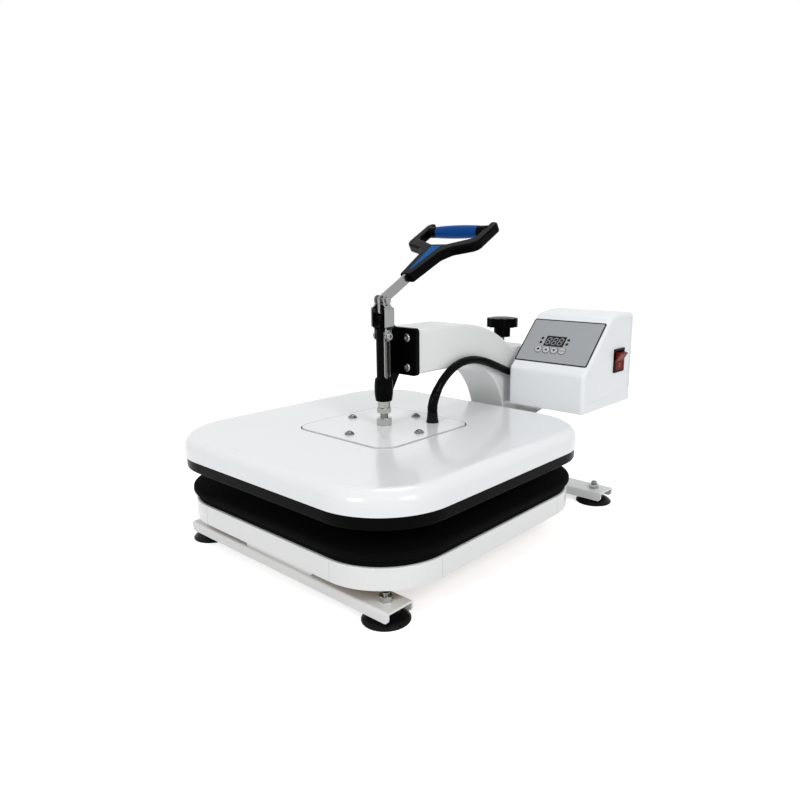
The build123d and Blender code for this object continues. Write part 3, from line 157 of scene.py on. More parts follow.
def corner_distance(tree, sides):
    """Distance outside the corner centres of a rounded shape, from two sockets and their halves."""
    outside = []
    for label, along, half in sides:
        size = arithmetic(tree, "ABSOLUTE", along, 0.0, label + " from the middle")
        past = arithmetic(tree, "SUBTRACT", size, half, label + " past the corner centre")
        outside.append(arithmetic(tree, "MAXIMUM", past, 0.0, label + " only outside"))
    return diagonal(tree, outside[0], outside[1], "distance to the corner centre")


def axes_of(tree, kind, label):
    """X, Y and Z of the place on the piece, or of the way that its surface faces."""
    place = add_node(tree, "ShaderNodeTexCoord", label)
    axes = add_node(tree, "ShaderNodeSeparateXYZ", "axes")
    tree.links.new(place.outputs[kind], axes.inputs[0])
    return axes.outputs


def color_over(material, mask, color, label):
    """Another colour over a material's own one, where the mask is 1."""
    tree = material.node_tree
    base = tree.nodes["Principled BSDF"].inputs["Base Color"]
    own_color = base.links[0].from_socket
    mixed = add_node(tree, "ShaderNodeMix", label, data_type="RGBA")
    mixed.inputs["B"].default_value = color
    tree.links.new(mask, mixed.inputs["Factor"])
    tree.links.new(own_color, mixed.inputs["A"])
    tree.links.new(mixed.outputs["Result"], base)


def new_group(name, inputs, outputs):
    """An empty shader group with named sockets."""
    group = bpy.data.node_groups.new(name, "ShaderNodeTree")
    for label, kind, value in inputs:
        socket = group.interface.new_socket(label, in_out="INPUT", socket_type=kind)
        if value is not None:
            socket.default_value = value
    for label, kind in outputs:
        group.interface.new_socket(label, in_out="OUTPUT", socket_type=kind)
    return group, group.nodes.new("NodeGroupInput"), group.nodes.new("NodeGroupOutput")


# Effects that several finishes share
def surface_grain_group():
    """Colour drift, uneven gloss and fine relief of a made surface."""
    group, given, result = new_group(
        "surface_grain",
        [
            ("Color", "NodeSocketColor", (0.5, 0.5, 0.5, 1)),
            ("Roughness", "NodeSocketFloat", 0.4),
            ("Stretch", "NodeSocketVector", (1, 1, 1)),
            ("Grain Scale", "NodeSocketFloat", 900.0),
            ("Color Drift", "NodeSocketFloat", 0.04),
            ("Gloss Drift", "NodeSocketFloat", 0.08),
        ],
        [
            ("Color", "NodeSocketColor"),
            ("Roughness", "NodeSocketFloat"),
            ("Height", "NodeSocketFloat"),
        ],
    )
    place = add_node(group, "ShaderNodeTexCoord", "place on the piece")
    stretched = add_node(group, "ShaderNodeVectorMath", "along the grain", operation="MULTIPLY")
    group.links.new(place.outputs["Object"], stretched.inputs[0])
    group.links.new(given.outputs["Stretch"], stretched.inputs[1])
    fine = add_node(group, "ShaderNodeTexNoise", "fine grain", Detail=3.0, Roughness=0.6)
    group.links.new(stretched.outputs[0], fine.inputs["Vector"])
    group.links.new(given.outputs["Grain Scale"], fine.inputs["Scale"])
    broad = add_node(group, "ShaderNodeTexNoise", "broad drift", Scale=14.0, Detail=4.0)
    group.links.new(place.outputs["Object"], broad.inputs["Vector"])
    centred = arithmetic(group, "SUBTRACT", broad.outputs["Fac"], 0.5, "either side")
    shade = arithmetic(group, "MULTIPLY", centred, given.outputs["Color Drift"], "drift")
    brightness = arithmetic(group, "ADD", shade, 1.0, "round one")
    tinted = add_node(group, "ShaderNodeVectorMath", "shade the colour", operation="SCALE")
    group.links.new(given.outputs["Color"], tinted.inputs[0])
    group.links.new(brightness, tinted.inputs["Scale"])
    fine_centred = arithmetic(group, "SUBTRACT", fine.outputs["Fac"], 0.5, "fine, either side")
    both = arithmetic(group, "ADD", centred, fine_centred, "broad and fine")
    gloss = arithmetic(group, "MULTIPLY", both, given.outputs["Gloss Drift"], "gloss drift")
    rough = arithmetic(group, "ADD", gloss, given.outputs["Roughness"], "uneven gloss")
    group.links.new(tinted.outputs[0], result.inputs["Color"])
    group.links.new(rough, result.inputs["Roughness"])
    group.links.new(fine.outputs["Fac"], result.inputs["Height"])
    return group


def settled_dust_group():
    """Pale dust that settles on faces that look up."""
    group, given, result = new_group(
        "settled_dust",
        [
            ("Color", "NodeSocketColor", (0.5, 0.5, 0.5, 1)),
            ("Roughness", "NodeSocketFloat", 0.4),
            ("Dust", "NodeSocketFloat", 0.05),
        ],
        [("Color", "NodeSocketColor"), ("Roughness", "NodeSocketFloat")],
    )
    place = add_node(group, "ShaderNodeTexCoord", "place on the piece")
    facing = axes_of(group, "Normal", "which way it faces")
    upward = arithmetic(group, "MAXIMUM", facing["Z"], 0.0, "only upward")
    specks = add_node(
        group, "ShaderNodeTexNoise", "specks", Scale=420.0, Detail=5.0, Roughness=0.7,
    )
    group.links.new(place.outputs["Object"], specks.inputs["Vector"])
    patchy = arithmetic(group, "MULTIPLY", upward, specks.outputs["Fac"], "patchy")
    amount = arithmetic(group, "MULTIPLY", patchy, given.outputs["Dust"], "how much")
    blend = add_node(group, "ShaderNodeMix", "dust over colour", data_type="RGBA")
    blend.inputs["B"].default_value = (0.42, 0.41, 0.39, 1)
    group.links.new(amount, blend.inputs["Factor"])
    group.links.new(given.outputs["Color"], blend.inputs["A"])
    duller = arithmetic(group, "ADD", given.outputs["Roughness"], amount, "duller where dusty")
    group.links.new(blend.outputs["Result"], result.inputs["Color"])
    group.links.new(duller, result.inputs["Roughness"])
    return group


grain_group = surface_grain_group()
dust_group = settled_dust_group()


def finish(
    name,
    color,
    roughness,
    grain=900.0,
    stretch=(1, 1, 1),
    relief=0.02,
    color_drift=0.04,
    gloss_drift=0.08,
    dust=None,
    edge=0.0,
    **shader_values,
):
    """A material of this machine: its colour and gloss, its grain, its broken edges, and dust."""
    material = bpy.data.materials.new(name)
    material.use_nodes = True
    tree = material.node_tree
    shader = tree.nodes["Principled BSDF"]
    for socket, value in shader_values.items():
        shader.inputs[socket.replace("_", " ")].default_value = value
    surface = add_node(tree, "ShaderNodeGroup", "surface grain")
    surface.node_tree = grain_group
    surface.inputs["Color"].default_value = (*color, 1)
    surface.inputs["Roughness"].default_value = roughness
    surface.inputs["Stretch"].default_value = stretch
    surface.inputs["Grain Scale"].default_value = grain
    surface.inputs["Color Drift"].default_value = color_drift
    surface.inputs["Gloss Drift"].default_value = gloss_drift
    last = surface
    if dust is not None:
        last = add_node(tree, "ShaderNodeGroup", "settled dust")
        last.node_tree = dust_group
        last.inputs["Dust"].default_value = dust
        tree.links.new(surface.outputs["Color"], last.inputs["Color"])
        tree.links.new(surface.outputs["Roughness"], last.inputs["Roughness"])
    tree.links.new(last.outputs["Color"], shader.inputs["Base Color"])
    tree.links.new(last.outputs["Roughness"], shader.inputs["Roughness"])
    bump = add_node(tree, "ShaderNodeBump", "relief", Strength=0.5, Distance=relief * MM)
    if edge:
        broken_edge = add_node(tree, "ShaderNodeBevel", "broken edge", samples=6, Radius=edge * MM)
        tree.links.new(broken_edge.outputs["Normal"], bump.inputs["Normal"])
    tree.links.new(surface.outputs["Height"], bump.inputs["Height"])
    tree.links.new(bump.outputs["Normal"], shader.inputs["Normal"])
    return material


# Finishes
white_paint = finish(
    "white_stove_enamel", (0.78, 0.79, 0.785), 0.32, grain=260.0, relief=0.05, color_drift=0.02,
    Coat_Weight=0.25, Coat_Roughness=0.12, Specular_IOR_Level=0.35,
)
cap_paint = finish(
    "white_cap_enamel", (0.79, 0.81, 0.82), 0.24, grain=200.0, relief=0.04, color_drift=0.02,
    Coat_Weight=0.45, Coat_Roughness=0.08, Specular_IOR_Level=0.35,
)
white_plastic = finish(
    "white_case_plastic", (0.80, 0.825, 0.845), 0.34, grain=300.0, relief=0.01, color_drift=0.01,
    gloss_drift=0.05, Coat_Weight=0.3, Coat_Roughness=0.15, Specular_IOR_Level=0.35,
)
black_paint = finish(
    "black_bracket_paint", (0.001, 0.001, 0.0012), 0.2, grain=420.0, relief=0.06, dust=0.001,
    edge=0.3, Specular_IOR_Level=0.03,
)
black_plastic = finish(
    "black_moulded_plastic", (0.001, 0.001, 0.0012), 0.2, grain=1500.0, relief=0.04, dust=0.001,
    edge=0.3, Specular_IOR_Level=0.03,
)
black_rubber = finish(
    "black_rubber", (0.001, 0.001, 0.001), 0.3, grain=800.0, relief=0.04, dust=0.002,
    Specular_IOR_Level=0.12,
)
black_sleeving = finish(
    "black_cable_sleeve", (0.001, 0.001, 0.001), 0.13, grain=300.0, relief=0.12,
    Specular_IOR_Level=0.05,
)
platen_coating = finish(
    "black_platen_coating", (0.001, 0.001, 0.0013), 0.26, grain=500.0, relief=0.04,
    Specular_IOR_Level=0.03,
)
pad_foam = finish(
    "black_silicone_foam", (0.002, 0.002, 0.002), 0.9, grain=1100.0, relief=0.18, color_drift=0.3,
    Specular_IOR_Level=0.05,
)
sponge_foam = finish(
    "black_open_sponge", (0.003, 0.003, 0.003), 0.95, grain=700.0, relief=0.3, color_drift=0.3,
    Specular_IOR_Level=0.05,
)
zinc = finish(
    "zinc_plated_steel", (0.30, 0.31, 0.305), 0.18, grain=700.0, relief=0.02, color_drift=0.4,
    gloss_drift=0.16, edge=0.3, Metallic=1.0,
)
rolled_steel = finish(
    "drawn_flat_steel", (0.29, 0.295, 0.29), 0.2, grain=160.0, stretch=(9, 1, 9), relief=0.02,
    color_drift=0.2, gloss_drift=0.1, edge=0.3, Metallic=1.0,
)
chrome = finish(
    "ground_plunger_steel", (0.10, 0.10, 0.098), 0.12, grain=500.0, stretch=(1, 1, 6), relief=0.01,
    color_drift=0.05, Metallic=1.0,
)
bright_nut = finish(
    "bright_zinc_nut", (0.44, 0.45, 0.435), 0.2, grain=600.0, relief=0.02, color_drift=0.3,
    gloss_drift=0.16, edge=0.3, Metallic=1.0,
)
screw_head = finish(
    "nickel_screw_head", (0.20, 0.20, 0.20), 0.14, grain=600.0, relief=0.01, color_drift=0.3,
    edge=0.3, Metallic=1.0,
)
thread_steel = finish(
    "threaded_steel", (0.40, 0.41, 0.40), 0.24, grain=600.0, relief=0.02, color_drift=0.2,
    edge=0.1, Metallic=1.0,
)
bronze = finish(
    "bearing_bronze", (0.50, 0.33, 0.15), 0.35, grain=600.0, relief=0.02, color_drift=0.15,
    Metallic=1.0,
)
pressed_board = finish(
    "pressed_board", (0.30, 0.20, 0.11), 0.8, grain=260.0, stretch=(1, 1, 6), relief=0.2,
    color_drift=0.4,
)
handle_blue = finish(
    "blue_handle_inlay", (0.004, 0.092, 0.31), 0.5, grain=1200.0, relief=0.02,
    Specular_IOR_Level=0.03,
)
grip_blue = finish(
    "blue_soft_grip", (0.001, 0.056, 0.25), 0.32, grain=1500.0, relief=0.04,
    Specular_IOR_Level=0.08,
)
window_black = finish(
    "smoked_window", (0.006, 0.006, 0.006), 0.12, grain=900.0, relief=0.002, gloss_drift=0.03,
    Specular_IOR_Level=0.15,
)
lamp_lens = finish(
    "lamp_lens", (0.008, 0.006, 0.006), 0.15, grain=900.0, relief=0.005, Specular_IOR_Level=0.2,
)
circuit_green = finish("circuit_board", (0.02, 0.12, 0.05), 0.35, grain=1400.0, relief=0.03)
rocker_red = finish(
    "red_rocker", (0.16, 0.007, 0.006), 0.22, grain=900.0, relief=0.01, Specular_IOR_Level=0.03,
)
button_face = finish(
    "button_face", (0.50, 0.51, 0.53), 0.45, grain=1200.0, relief=0.02, Specular_IOR_Level=0.25,
)
segment_grey = finish(
    "unlit_segment", (0.24, 0.24, 0.25), 0.4, grain=1200.0, relief=0.002, Specular_IOR_Level=0.2,
)
print_black = finish(
    "panel_ink", (0.008, 0.008, 0.010), 0.5, grain=1200.0, relief=0.002, Specular_IOR_Level=0.15,
)
print_white = finish("switch_ink", (0.28, 0.18, 0.17), 0.5, grain=1200.0, relief=0.002)
glass_wool = finish(
    "glass_wool", (0.42, 0.38, 0.26), 0.95, grain=500.0, stretch=(4, 1, 1), relief=0.5,
    color_drift=0.4,
)


def paint_thread_shade(material, pitch):
    """Turns of a thread round an upright rod, painted as shade: dark bands painted in the grooves,
    the plain colour on the crests.
    """
    tree = material.node_tree
    base = tree.nodes["Principled BSDF"].inputs["Base Color"]
    plain = base.links[0].from_socket
    height = axes_of(tree, "Object", "place on the piece")["Z"]
    turns = arithmetic(tree, "MULTIPLY", height, 2 * math.pi / (pitch * MM), "turns")
    wave = arithmetic(tree, "SINE", turns, 0.0, "crest and groove")
    lifted = arithmetic(tree, "ADD", wave, 1.0, "from nought")
    crest = arithmetic(tree, "MULTIPLY", lifted, 0.5, "crest")
    # Painted shade: the colour darkens in bands where the thread's grooves would be in shade
    groove_shade = add_node(tree, "ShaderNodeMix", "painted groove shade", data_type="RGBA")
    groove_shade.inputs["A"].default_value = (0.05, 0.05, 0.048, 1)
    tree.links.new(crest, groove_shade.inputs["Factor"])
    tree.links.new(plain, groove_shade.inputs["B"])
    tree.links.new(groove_shade.outputs["Result"], base)


def slot_edge_highlights(material):
    """Painted highlight: a narrow band of bare steel colour, made metallic, along the column's side
    slots, so that their edges look bright.
    """
    tree = material.node_tree
    place = axes_of(tree, "Object", "place on the piece")
    height = place["Z"]
    centred = arithmetic(tree, "SUBTRACT", place["Y"], press_y * MM, "from the middle")
    across = arithmetic(tree, "ABSOLUTE", centred, 0.0, "either side")
    below = arithmetic(tree, "SUBTRACT", slot_round * MM, height, "below the round end's centre")
    drop = arithmetic(tree, "MAXIMUM", below, 0.0, "only below")
    reach = diagonal(tree, across, drop, "distance to the slot's centre line")
    highlight_from = (slot_half - highlight_inside) * MM
    highlight_to = (slot_half + highlight_outside) * MM
    slot_end = (slot_round - slot_half - 1) * MM
    tests = [
        arithmetic(tree, "GREATER_THAN", reach, highlight_from, "from the slot's edge"),
        arithmetic(tree, "LESS_THAN", reach, highlight_to, "to the paint"),
        arithmetic(tree, "LESS_THAN", height, slot_top * MM, "below the slot's top"),
        arithmetic(tree, "GREATER_THAN", height, slot_end, "above its end"),
    ]
    # Painted highlight: a bright metallic band where the slot edges catch the light
    highlight_band = all_of(tree, tests, "in the highlight band")
    color_over(material, highlight_band, (0.34, 0.34, 0.33, 1), "painted highlight of steel")
    tree.links.new(highlight_band, tree.nodes["Principled BSDF"].inputs["Metallic"])


def darken_seam(material):
    """Painted shade in the narrow seam round the cover plate, and a thin dark line of painted shade
    on the plate's top edge.
    """
    tree = material.node_tree
    place = axes_of(tree, "Object", "place on the piece")
    facing = axes_of(tree, "Normal", "which way it faces")
    along = arithmetic(tree, "SUBTRACT", place["Y"], press_y * MM, "along from the middle")
    inner = (cover_half - cover_corner) * MM
    reach = corner_distance(tree, [("across", place["X"], inner), ("along", along, inner)])
    edge_starts = (cover_corner - edge_shade_width) * MM
    seam_starts = (cover_corner + seam_from) * MM
    seam_ends = (cover_corner + seam_to) * MM
    # Painted shade: the seam between plate and cap is darkened in the colour
    seam_tests = [
        arithmetic(tree, "GREATER_THAN", reach, seam_starts, "beyond the plate"),
        arithmetic(tree, "LESS_THAN", reach, seam_ends, "this side of the cap"),
    ]
    seam = all_of(tree, seam_tests, "in the seam")
    edge_tests = [
        arithmetic(tree, "GREATER_THAN", reach, edge_starts, "on the plate's edge"),
        arithmetic(tree, "LESS_THAN", reach, seam_starts, "not in the seam"),
        arithmetic(tree, "GREATER_THAN", facing["Z"], 0.5, "looks up"),
    ]
    # Painted shade: a thin dark line on the plate's own top edge, standing for the seam's shade
    thin = all_of(tree, edge_tests, "painted edge shade")
    shaded = arithmetic(tree, "MAXIMUM", seam, thin, "seam or edge")
    color_over(material, shaded, (0.07, 0.072, 0.075, 1), "shade over paint")


paint_thread_shade(thread_steel, thread_pitch)
slot_edge_highlights(black_paint)
darken_seam(cap_paint)


def panel_film():
    """Grey film of the panel, with a dark line that follows its rounded edge."""
    material = finish(
        "panel_film", (0.345, 0.362, 0.380), 0.45, grain=1600.0, relief=0.01, color_drift=0.02,
        Specular_IOR_Level=0.1,
    )
    tree = material.node_tree
    film_centre = panel_corner + panel_across * film_middle[0] + panel_up * film_middle[1]
    place = add_node(tree, "ShaderNodeTexCoord", "place on the piece")
    shifted = add_node(tree, "ShaderNodeVectorMath", "from the middle", operation="SUBTRACT")
    shifted.inputs[1].default_value = film_centre * MM
    tree.links.new(place.outputs["Object"], shifted.inputs[0])
    sides = []
    ways = {"across": panel_across, "up": panel_up}
    for label, half in zip(ways, film_half):
        along = add_node(tree, "ShaderNodeVectorMath", label, operation="DOT_PRODUCT")
        along.inputs[1].default_value = ways[label]
        tree.links.new(shifted.outputs[0], along.inputs[0])
        sides.append((label, along.outputs["Value"], (half - film_corner) * MM))
    reach = corner_distance(tree, sides)
    line_starts = (film_corner - film_line_inside) * MM
    line = arithmetic(tree, "GREATER_THAN", reach, line_starts, "in the edge line")
    color_over(material, line, (0.006, 0.006, 0.009, 1), "ink over film")
    return material


finishes = {
    white_paint: [
        "front_leg_channel", "rear_leg_channel", "base_beam", "table_tray", "post_socket",
        "swing_sleeve", "sleeve_cap", "gooseneck_arm", "box_bracket",
    ],
    cap_paint: ["platen_cap", "cover_plate"],
    white_plastic: ["box_shell", "box_tray"],
    black_paint: ["press_bracket"],
    black_plastic: [
        "switch_bezel", "mains_inlet", "cable_gland", "stirrup_handle", "star_knob",
    ],
    black_rubber: ["suction_feet", "cable_boot"],
    platen_coating: ["heating_platen"],
    zinc: [
        "base_bolts", "bracket_bolts", "lever_pivot_pin", "box_screws", "link_pin",
        "toggle_links", "link_screws", "plunger_pin", "platen_spacers",
    ],
    bright_nut: ["base_nuts", "lock_collar", "lock_nut", "hub_nut"],
    thread_steel: ["foot_studs", "adjusting_rod", "knob_screw"],
    screw_head: ["cover_screws"],
    rolled_steel: ["lever_bar"],
    chrome: ["plunger", "swing_post"],
    bronze: ["thrust_washer", "sleeve_bushes"],
    pressed_board: ["table_board"],
    glass_wool: ["heater_blanket"],
    handle_blue: ["handle_inlay"],
    grip_blue: ["handle_grip"],
    panel_film(): ["panel_overlay"],
    window_black: ["display_window"],
    lamp_lens: ["panel_lamps"],
    circuit_green: ["control_board"],
    rocker_red: ["power_rocker"],
    button_face: ["set_button", "plus_button", "minus_button", "start_button"],
}


def wear_finishes():
    """Each solid of the frame gets its own finish."""
    for material, nodes in finishes.items():
        for name in nodes:
            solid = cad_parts[name]
            for place in range(len(solid.material_slots)):
                solid.material_slots[place].link = "OBJECT"
                solid.material_slots[place].material = material


# Making and placing pieces
def new_piece(name, mesh_maker, material, body, smooth=True):
    """A mesh piece that rides on a body of the frame."""
    mesh = bpy.data.meshes.new(name)
    build = bmesh.new()
    mesh_maker(build)
    bmesh.ops.recalc_face_normals(build, faces=build.faces)
    build.to_mesh(mesh)
    build.free()
    mesh.materials.append(material)
    for face in mesh.polygons:
        face.use_smooth = smooth
    piece = bpy.data.objects.new(name, mesh)
    scene.collection.objects.link(piece)
    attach(piece, body)
    return piece


def skin(build, loops):
    """Faces between each loop of points and the next."""
    for first, second in zip(loops, loops[1:]):
        for place in range(len(first)):
            after = (place + 1) % len(first)
            build.faces.new((first[place], first[after], second[after], second[place]))


def rounded_square(half, corner, corner_steps=14, side_steps=12):
    """Points and outward directions round a square with round corners."""
    points = []
    inner = half - corner
    for quarter in range(4):
        turn = quarter * math.pi / 2
        centre = Vector((inner, inner, 0))
        centre.rotate(Euler((0, 0, turn)))
        for step in range(corner_steps + 1):
            angle = turn + step / corner_steps * math.pi / 2
            out = Vector((math.cos(angle), math.sin(angle), 0))
            points.append((centre + out * corner, out))
        last = points[-1][0]
        following = Vector((inner, inner, 0))
        following.rotate(Euler((0, 0, turn + math.pi / 2)))
        angle = turn + math.pi / 2
        out = Vector((math.cos(angle), math.sin(angle), 0))
        target = following + out * corner
        for step in range(1, side_steps):
            points.append((last.lerp(target, step / side_steps), out))
    return points


def foam_slab(half, corner, bottom, top, edge, slack):
    """Mesh maker for a foam sheet: round edges, slack sides, a top that isn't quite flat."""

    def build_slab(build):
        outline = rounded_square(half, corner)
        thick = top - bottom
        rows = []
        arc = [math.pi / 2 * step / 5 for step in range(6)]
        lower = [(edge * (1 - math.sin(a)), bottom + edge * (1 - math.cos(a))) for a in arc]
        upper = [(edge * (1 - math.cos(a)), top - edge * (1 - math.sin(a))) for a in arc]
        for inset, height in lower + upper:
            rows.append(("edge", inset, height))
        inward = [("face", share, top) for share in (0.96, 0.9, 0.78, 0.6, 0.4, 0.2)]
        under = [("face", share, bottom) for share in (0.2, 0.4, 0.6, 0.78, 0.9, 0.96)]
        loops = []
        for kind, amount, height in under + rows + inward:
            loop = []
            for point, out in outline:
                if kind == "edge":
                    place = point - out * amount
                    wave = noise.noise(Vector((place.x, place.y, height * 3)) / side_wave)
                    give = slack * (0.5 + wave) * math.sin(math.pi * (height - bottom) / thick)
                    place = place - out * give
                else:
                    place = (point - out * edge) * amount
                spot = table_middle + Vector((place.x, place.y, height))
                if height > bottom + thick / 2:
                    ripple = noise.noise(Vector((spot.x, spot.y, 0)) / top_wave)
                    spot.z -= slack * 0.5 * (0.5 + ripple)
                loop.append(build.verts.new(spot * MM))
            loops.append(loop)
        skin(build, loops)
        for loop in (loops[0], loops[-1]):
            centre = sum((v.co for v in loop), Vector()) / len(loop)
            hub = build.verts.new(centre)
            for place in range(len(loop)):
                build.faces.new((loop[place], loop[(place + 1) % len(loop)], hub))

    return build_slab


def make_foam():
    """The press pad and the sponge under it."""
    pad_shape = foam_slab(pad_half, pad_corner, pad_bottom, pad_top, edge=3.5, slack=0.5)
    pad = new_piece("silicone_pad", pad_shape, pad_foam, "base")
    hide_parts("press_pad")
    sponge_shape = foam_slab(
        sponge_half, sponge_corner, sponge_bottom, pad_bottom, edge=1.5, slack=0.8,
    )
    sponge = new_piece("sponge_sheet", sponge_shape, sponge_foam, "base")
    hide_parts("sponge_layer")


# Heater cable: its route, straight where it leaves the boot, and the shrink sleeve round its foot
cable_route = [
    Vector((37.3, -28.9, 128.0)),
    Vector((37.3, -28.9, 152.0)),
    Vector((37.3, -28.9, 169.0)),
    Vector((37.3, -13.5, 192.0)),
    Vector((37.3, 13.5, 210.5)),
    Vector((37.3, 46.5, 216.6)),
    Vector((37.3, 80.5, 210.5)),
    Vector((37.3, 112.5, 198.5)),
    Vector((37.3, 142.5, 186.5)),
    Vector((51.3, 162.0, 180.5)),
]
cable_radius = 5.5
sleeve_low = 156.5
sleeve_high = 186.0
sleeve_foot = 6.7
sleeve_narrows = 0.8
sleeve_crease = 0.35
sleeve_end = 5.55
sleeve_steps = 36


def make_cable():
    """The sleeved cable from the cap to the box."""
    line = bpy.data.curves.new("heater_cable_line", "CURVE")
    line.dimensions = "3D"
    line.bevel_depth = cable_radius * MM
    line.bevel_resolution = 8
    line.resolution_u = 16
    line.use_fill_caps = True
    run = line.splines.new("NURBS")
    run.points.add(len(cable_route) - 1)
    for knot, place in zip(run.points, cable_route):
        knot.co = (*(place * MM), 1)
    run.order_u = 3
    run.use_endpoint_u = True
    line.materials.append(black_sleeving)
    cable = bpy.data.objects.new("sleeved_heater_cable", line)
    scene.collection.objects.link(cable)
    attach(cable, "swing_arm")
    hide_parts("heater_cable")
    return cable


def follow(line_object):
    """Points along the cable's own spline, close together."""
    plain = line_object.data.copy()
    plain.bevel_depth = 0
    probe = bpy.data.objects.new("probe", plain)
    mesh = bpy.data.meshes.new_from_object(probe)
    points = [v.co.copy() for v in mesh.vertices]
    bpy.data.objects.remove(probe)
    bpy.data.meshes.remove(mesh)
    return points


def make_shrink_sleeve(cable):
    """Shrink sleeve over the cable's lower end: wide at the boot, creased, thinner at its end."""
    points = [p for p in follow(cable) if sleeve_low * MM < p.z < sleeve_high * MM and p.y < 0]

    def build_sleeve(build):
        loops = []
        for step, point in enumerate(points):
            share = step / (len(points) - 1)
            ahead = points[min(step + 1, len(points) - 1)]
            behind = points[max(step - 1, 0)]
            along = (ahead - behind).normalized()
            side = along.cross(Vector((1, 0, 0))).normalized()
            loop = []
            for turn in range(sleeve_steps):
                angle = turn / sleeve_steps * 2 * math.pi
                across = Vector((1, 0, 0)) * math.cos(angle) + side * math.sin(angle)
                spot = Vector((math.cos(angle) * 1.6, math.sin(angle) * 1.6, step * 0.55))
                crease = sleeve_crease * noise.noise(spot) * math.sin(math.pi * share)
                radius = sleeve_foot - sleeve_narrows * share + crease
                if step in (0, len(points) - 1):
                    radius = sleeve_end
                loop.append(build.verts.new(point + across * radius * MM))
            loops.append(loop)
        skin(build, loops)

    sleeve = new_piece("shrink_sleeve", build_sleeve, black_sleeving, "swing_arm")
    rounder = sleeve.modifiers.new("rounder", "SUBSURF")
    rounder.levels = 1
    rounder.render_levels = 2


# Panel: segments of the display, rings and marks of the buttons
def on_panel(across, up, out):
    """A place on the slanted panel."""
    return panel_corner + panel_across * across + panel_up * up + panel_out * out


def raise_outline(build, outline, to_place, low, high):
    """A flat shape with its own thin edge."""
    bottom = [build.verts.new(to_place(x, y, low) * MM) for x, y in outline]
    top = [build.verts.new(to_place(x, y, high) * MM) for x, y in outline]
    build.faces.new(top)
    build.faces.new(list(reversed(bottom)))
    skin(build, [bottom, top])


def raise_ring(build, centre, inner, outer, to_place, low, high, steps=40, stretch=1.0):
    """A flat ring, round or oval."""
    rows = []
    for radius, height in ((inner, low), (inner, high), (outer, high), (outer, low)):
        row = []
        for step in range(steps):
            angle = step / steps * 2 * math.pi
            x = centre[0] + radius * math.cos(angle)
            y = centre[1] + radius * math.sin(angle) * stretch
            row.append(build.verts.new(to_place(x, y, height) * MM))
        rows.append(row)
    skin(build, rows + rows[:1])


# Heights of the print on the film, the digits in the window, the marks on buttons and rocker
print_low = 0.45
print_high = 0.56
digit_low = 0.55
digit_high = 0.66
mark_low = 1.62
mark_high = 1.74
rocker_print = (-0.05, 0.08)

# The display's digits and the rings round the buttons
digit_height = 11.4
digit_width = 6.0
digit_pitch = 9.6
digit_slant = math.tan(math.radians(9))
digit_shift = 0.6
bar_half = 0.82
bar_gap = 0.2
dot_radius = 0.6
dot_gap = 1.6
ring_inside = 5.3
ring_outside = 5.85


def segment_bars(build):
    """Three digits of seven bars each, and the point after each digit."""
    tall = digit_height / 2
    wide = digit_width / 2
    bars = [
        ((-wide, tall), (wide, tall)), ((-wide, 0), (wide, 0)), ((-wide, -tall), (wide, -tall)),
        ((-wide, 0), (-wide, tall)), ((wide, 0), (wide, tall)),
        ((-wide, -tall), (-wide, 0)), ((wide, -tall), (wide, 0)),
    ]
    for digit in (-1, 0, 1):
        left = window_middle[0] - digit_shift + digit * digit_pitch
        for start, end in bars:
            start = Vector(start)
            end = Vector(end)
            along = (end - start).normalized()
            beside = Vector((-along.y, along.x))
            near = start + along * (bar_half + bar_gap)
            far = end - along * (bar_half + bar_gap)
            tips = (start + along * bar_gap * 2, end - along * bar_gap * 2)
            shape = [
                tips[0], near - beside * bar_half, far - beside * bar_half,
                tips[1], far + beside * bar_half, near + beside * bar_half,
            ]
            outline = [(left + p.x + p.y * digit_slant, window_middle[1] + p.y) for p in shape]
            raise_outline(build, outline, on_panel, digit_low, digit_high)
        dot = (left + wide + dot_gap - tall * digit_slant, window_middle[1] - tall)
        circle = []
        for step in range(12):
            angle = step * math.pi / 6
            out = (dot_radius * math.cos(angle), dot_radius * math.sin(angle))
            circle.append((dot[0] + out[0], dot[1] + out[1]))
        raise_outline(build, circle, on_panel, digit_low, digit_high)


button_places = {
    "set_button": 33.0, "plus_button": 45.87, "minus_button": 58.74, "start_button": 71.61,
}
button_height = 37.3


def button_rings(build):
    """The dark line printed round each button."""
    for across in button_places.values():
        centre = (across, button_height)
        raise_ring(build, centre, ring_inside, ring_outside, on_panel, print_low, print_high)


diamond = [(-2.6, 0), (0, -2.6), (2.6, 0), (0, 2.6)]
arrow_up = [(-2.7, -1.8), (2.7, -1.8), (0, 2.6)]
arrow_down = [(-2.7, 1.8), (2.7, 1.8), (0, -2.6)]
flat_marks = {"set_button": diamond, "plus_button": arrow_up, "minus_button": arrow_down}


def button_mark(button, across):
    """Mesh maker for the mark on one button: a diamond, an arrow, or else an oval."""

    def build_mark(build):
        if button in flat_marks:
            outline = [(across + x, button_height + y) for x, y in flat_marks[button]]
            raise_outline(build, outline, on_panel, mark_low, mark_high)
        else:
            centre = (across, button_height)
            raise_ring(build, centre, 2.5, 3.5, on_panel, mark_low, mark_high, 32, stretch=0.5)

    return build_mark


def on_rocker(side):
    """Places on one slanted face of the rocker: upper (1) or lower (-1)."""
    ridge = rocker_pivot + rocker_out * rocker_rise + rocker_up * rocker_half * side
    valley = rocker_pivot + rocker_out * rocker_rise * rocker_dip
    middle = (ridge + valley) / 2
    up = (ridge - valley).normalized() * side
    across = Vector((0, 1, 0))
    out = across.cross(up)

    def place(x, y, height):
        return middle + across * x + up * y + out * height

    return place


def rocker_marks(build):
    """The bar on the upper half and the ring on the lower half."""
    bar = [(-0.5, -2.6), (0.5, -2.6), (0.5, 2.6), (-0.5, 2.6)]
    raise_outline(build, bar, on_rocker(1), *rocker_print)
    raise_ring(build, (0, 0), 1.6, 2.4, on_rocker(-1), *rocker_print, stretch=1.25)


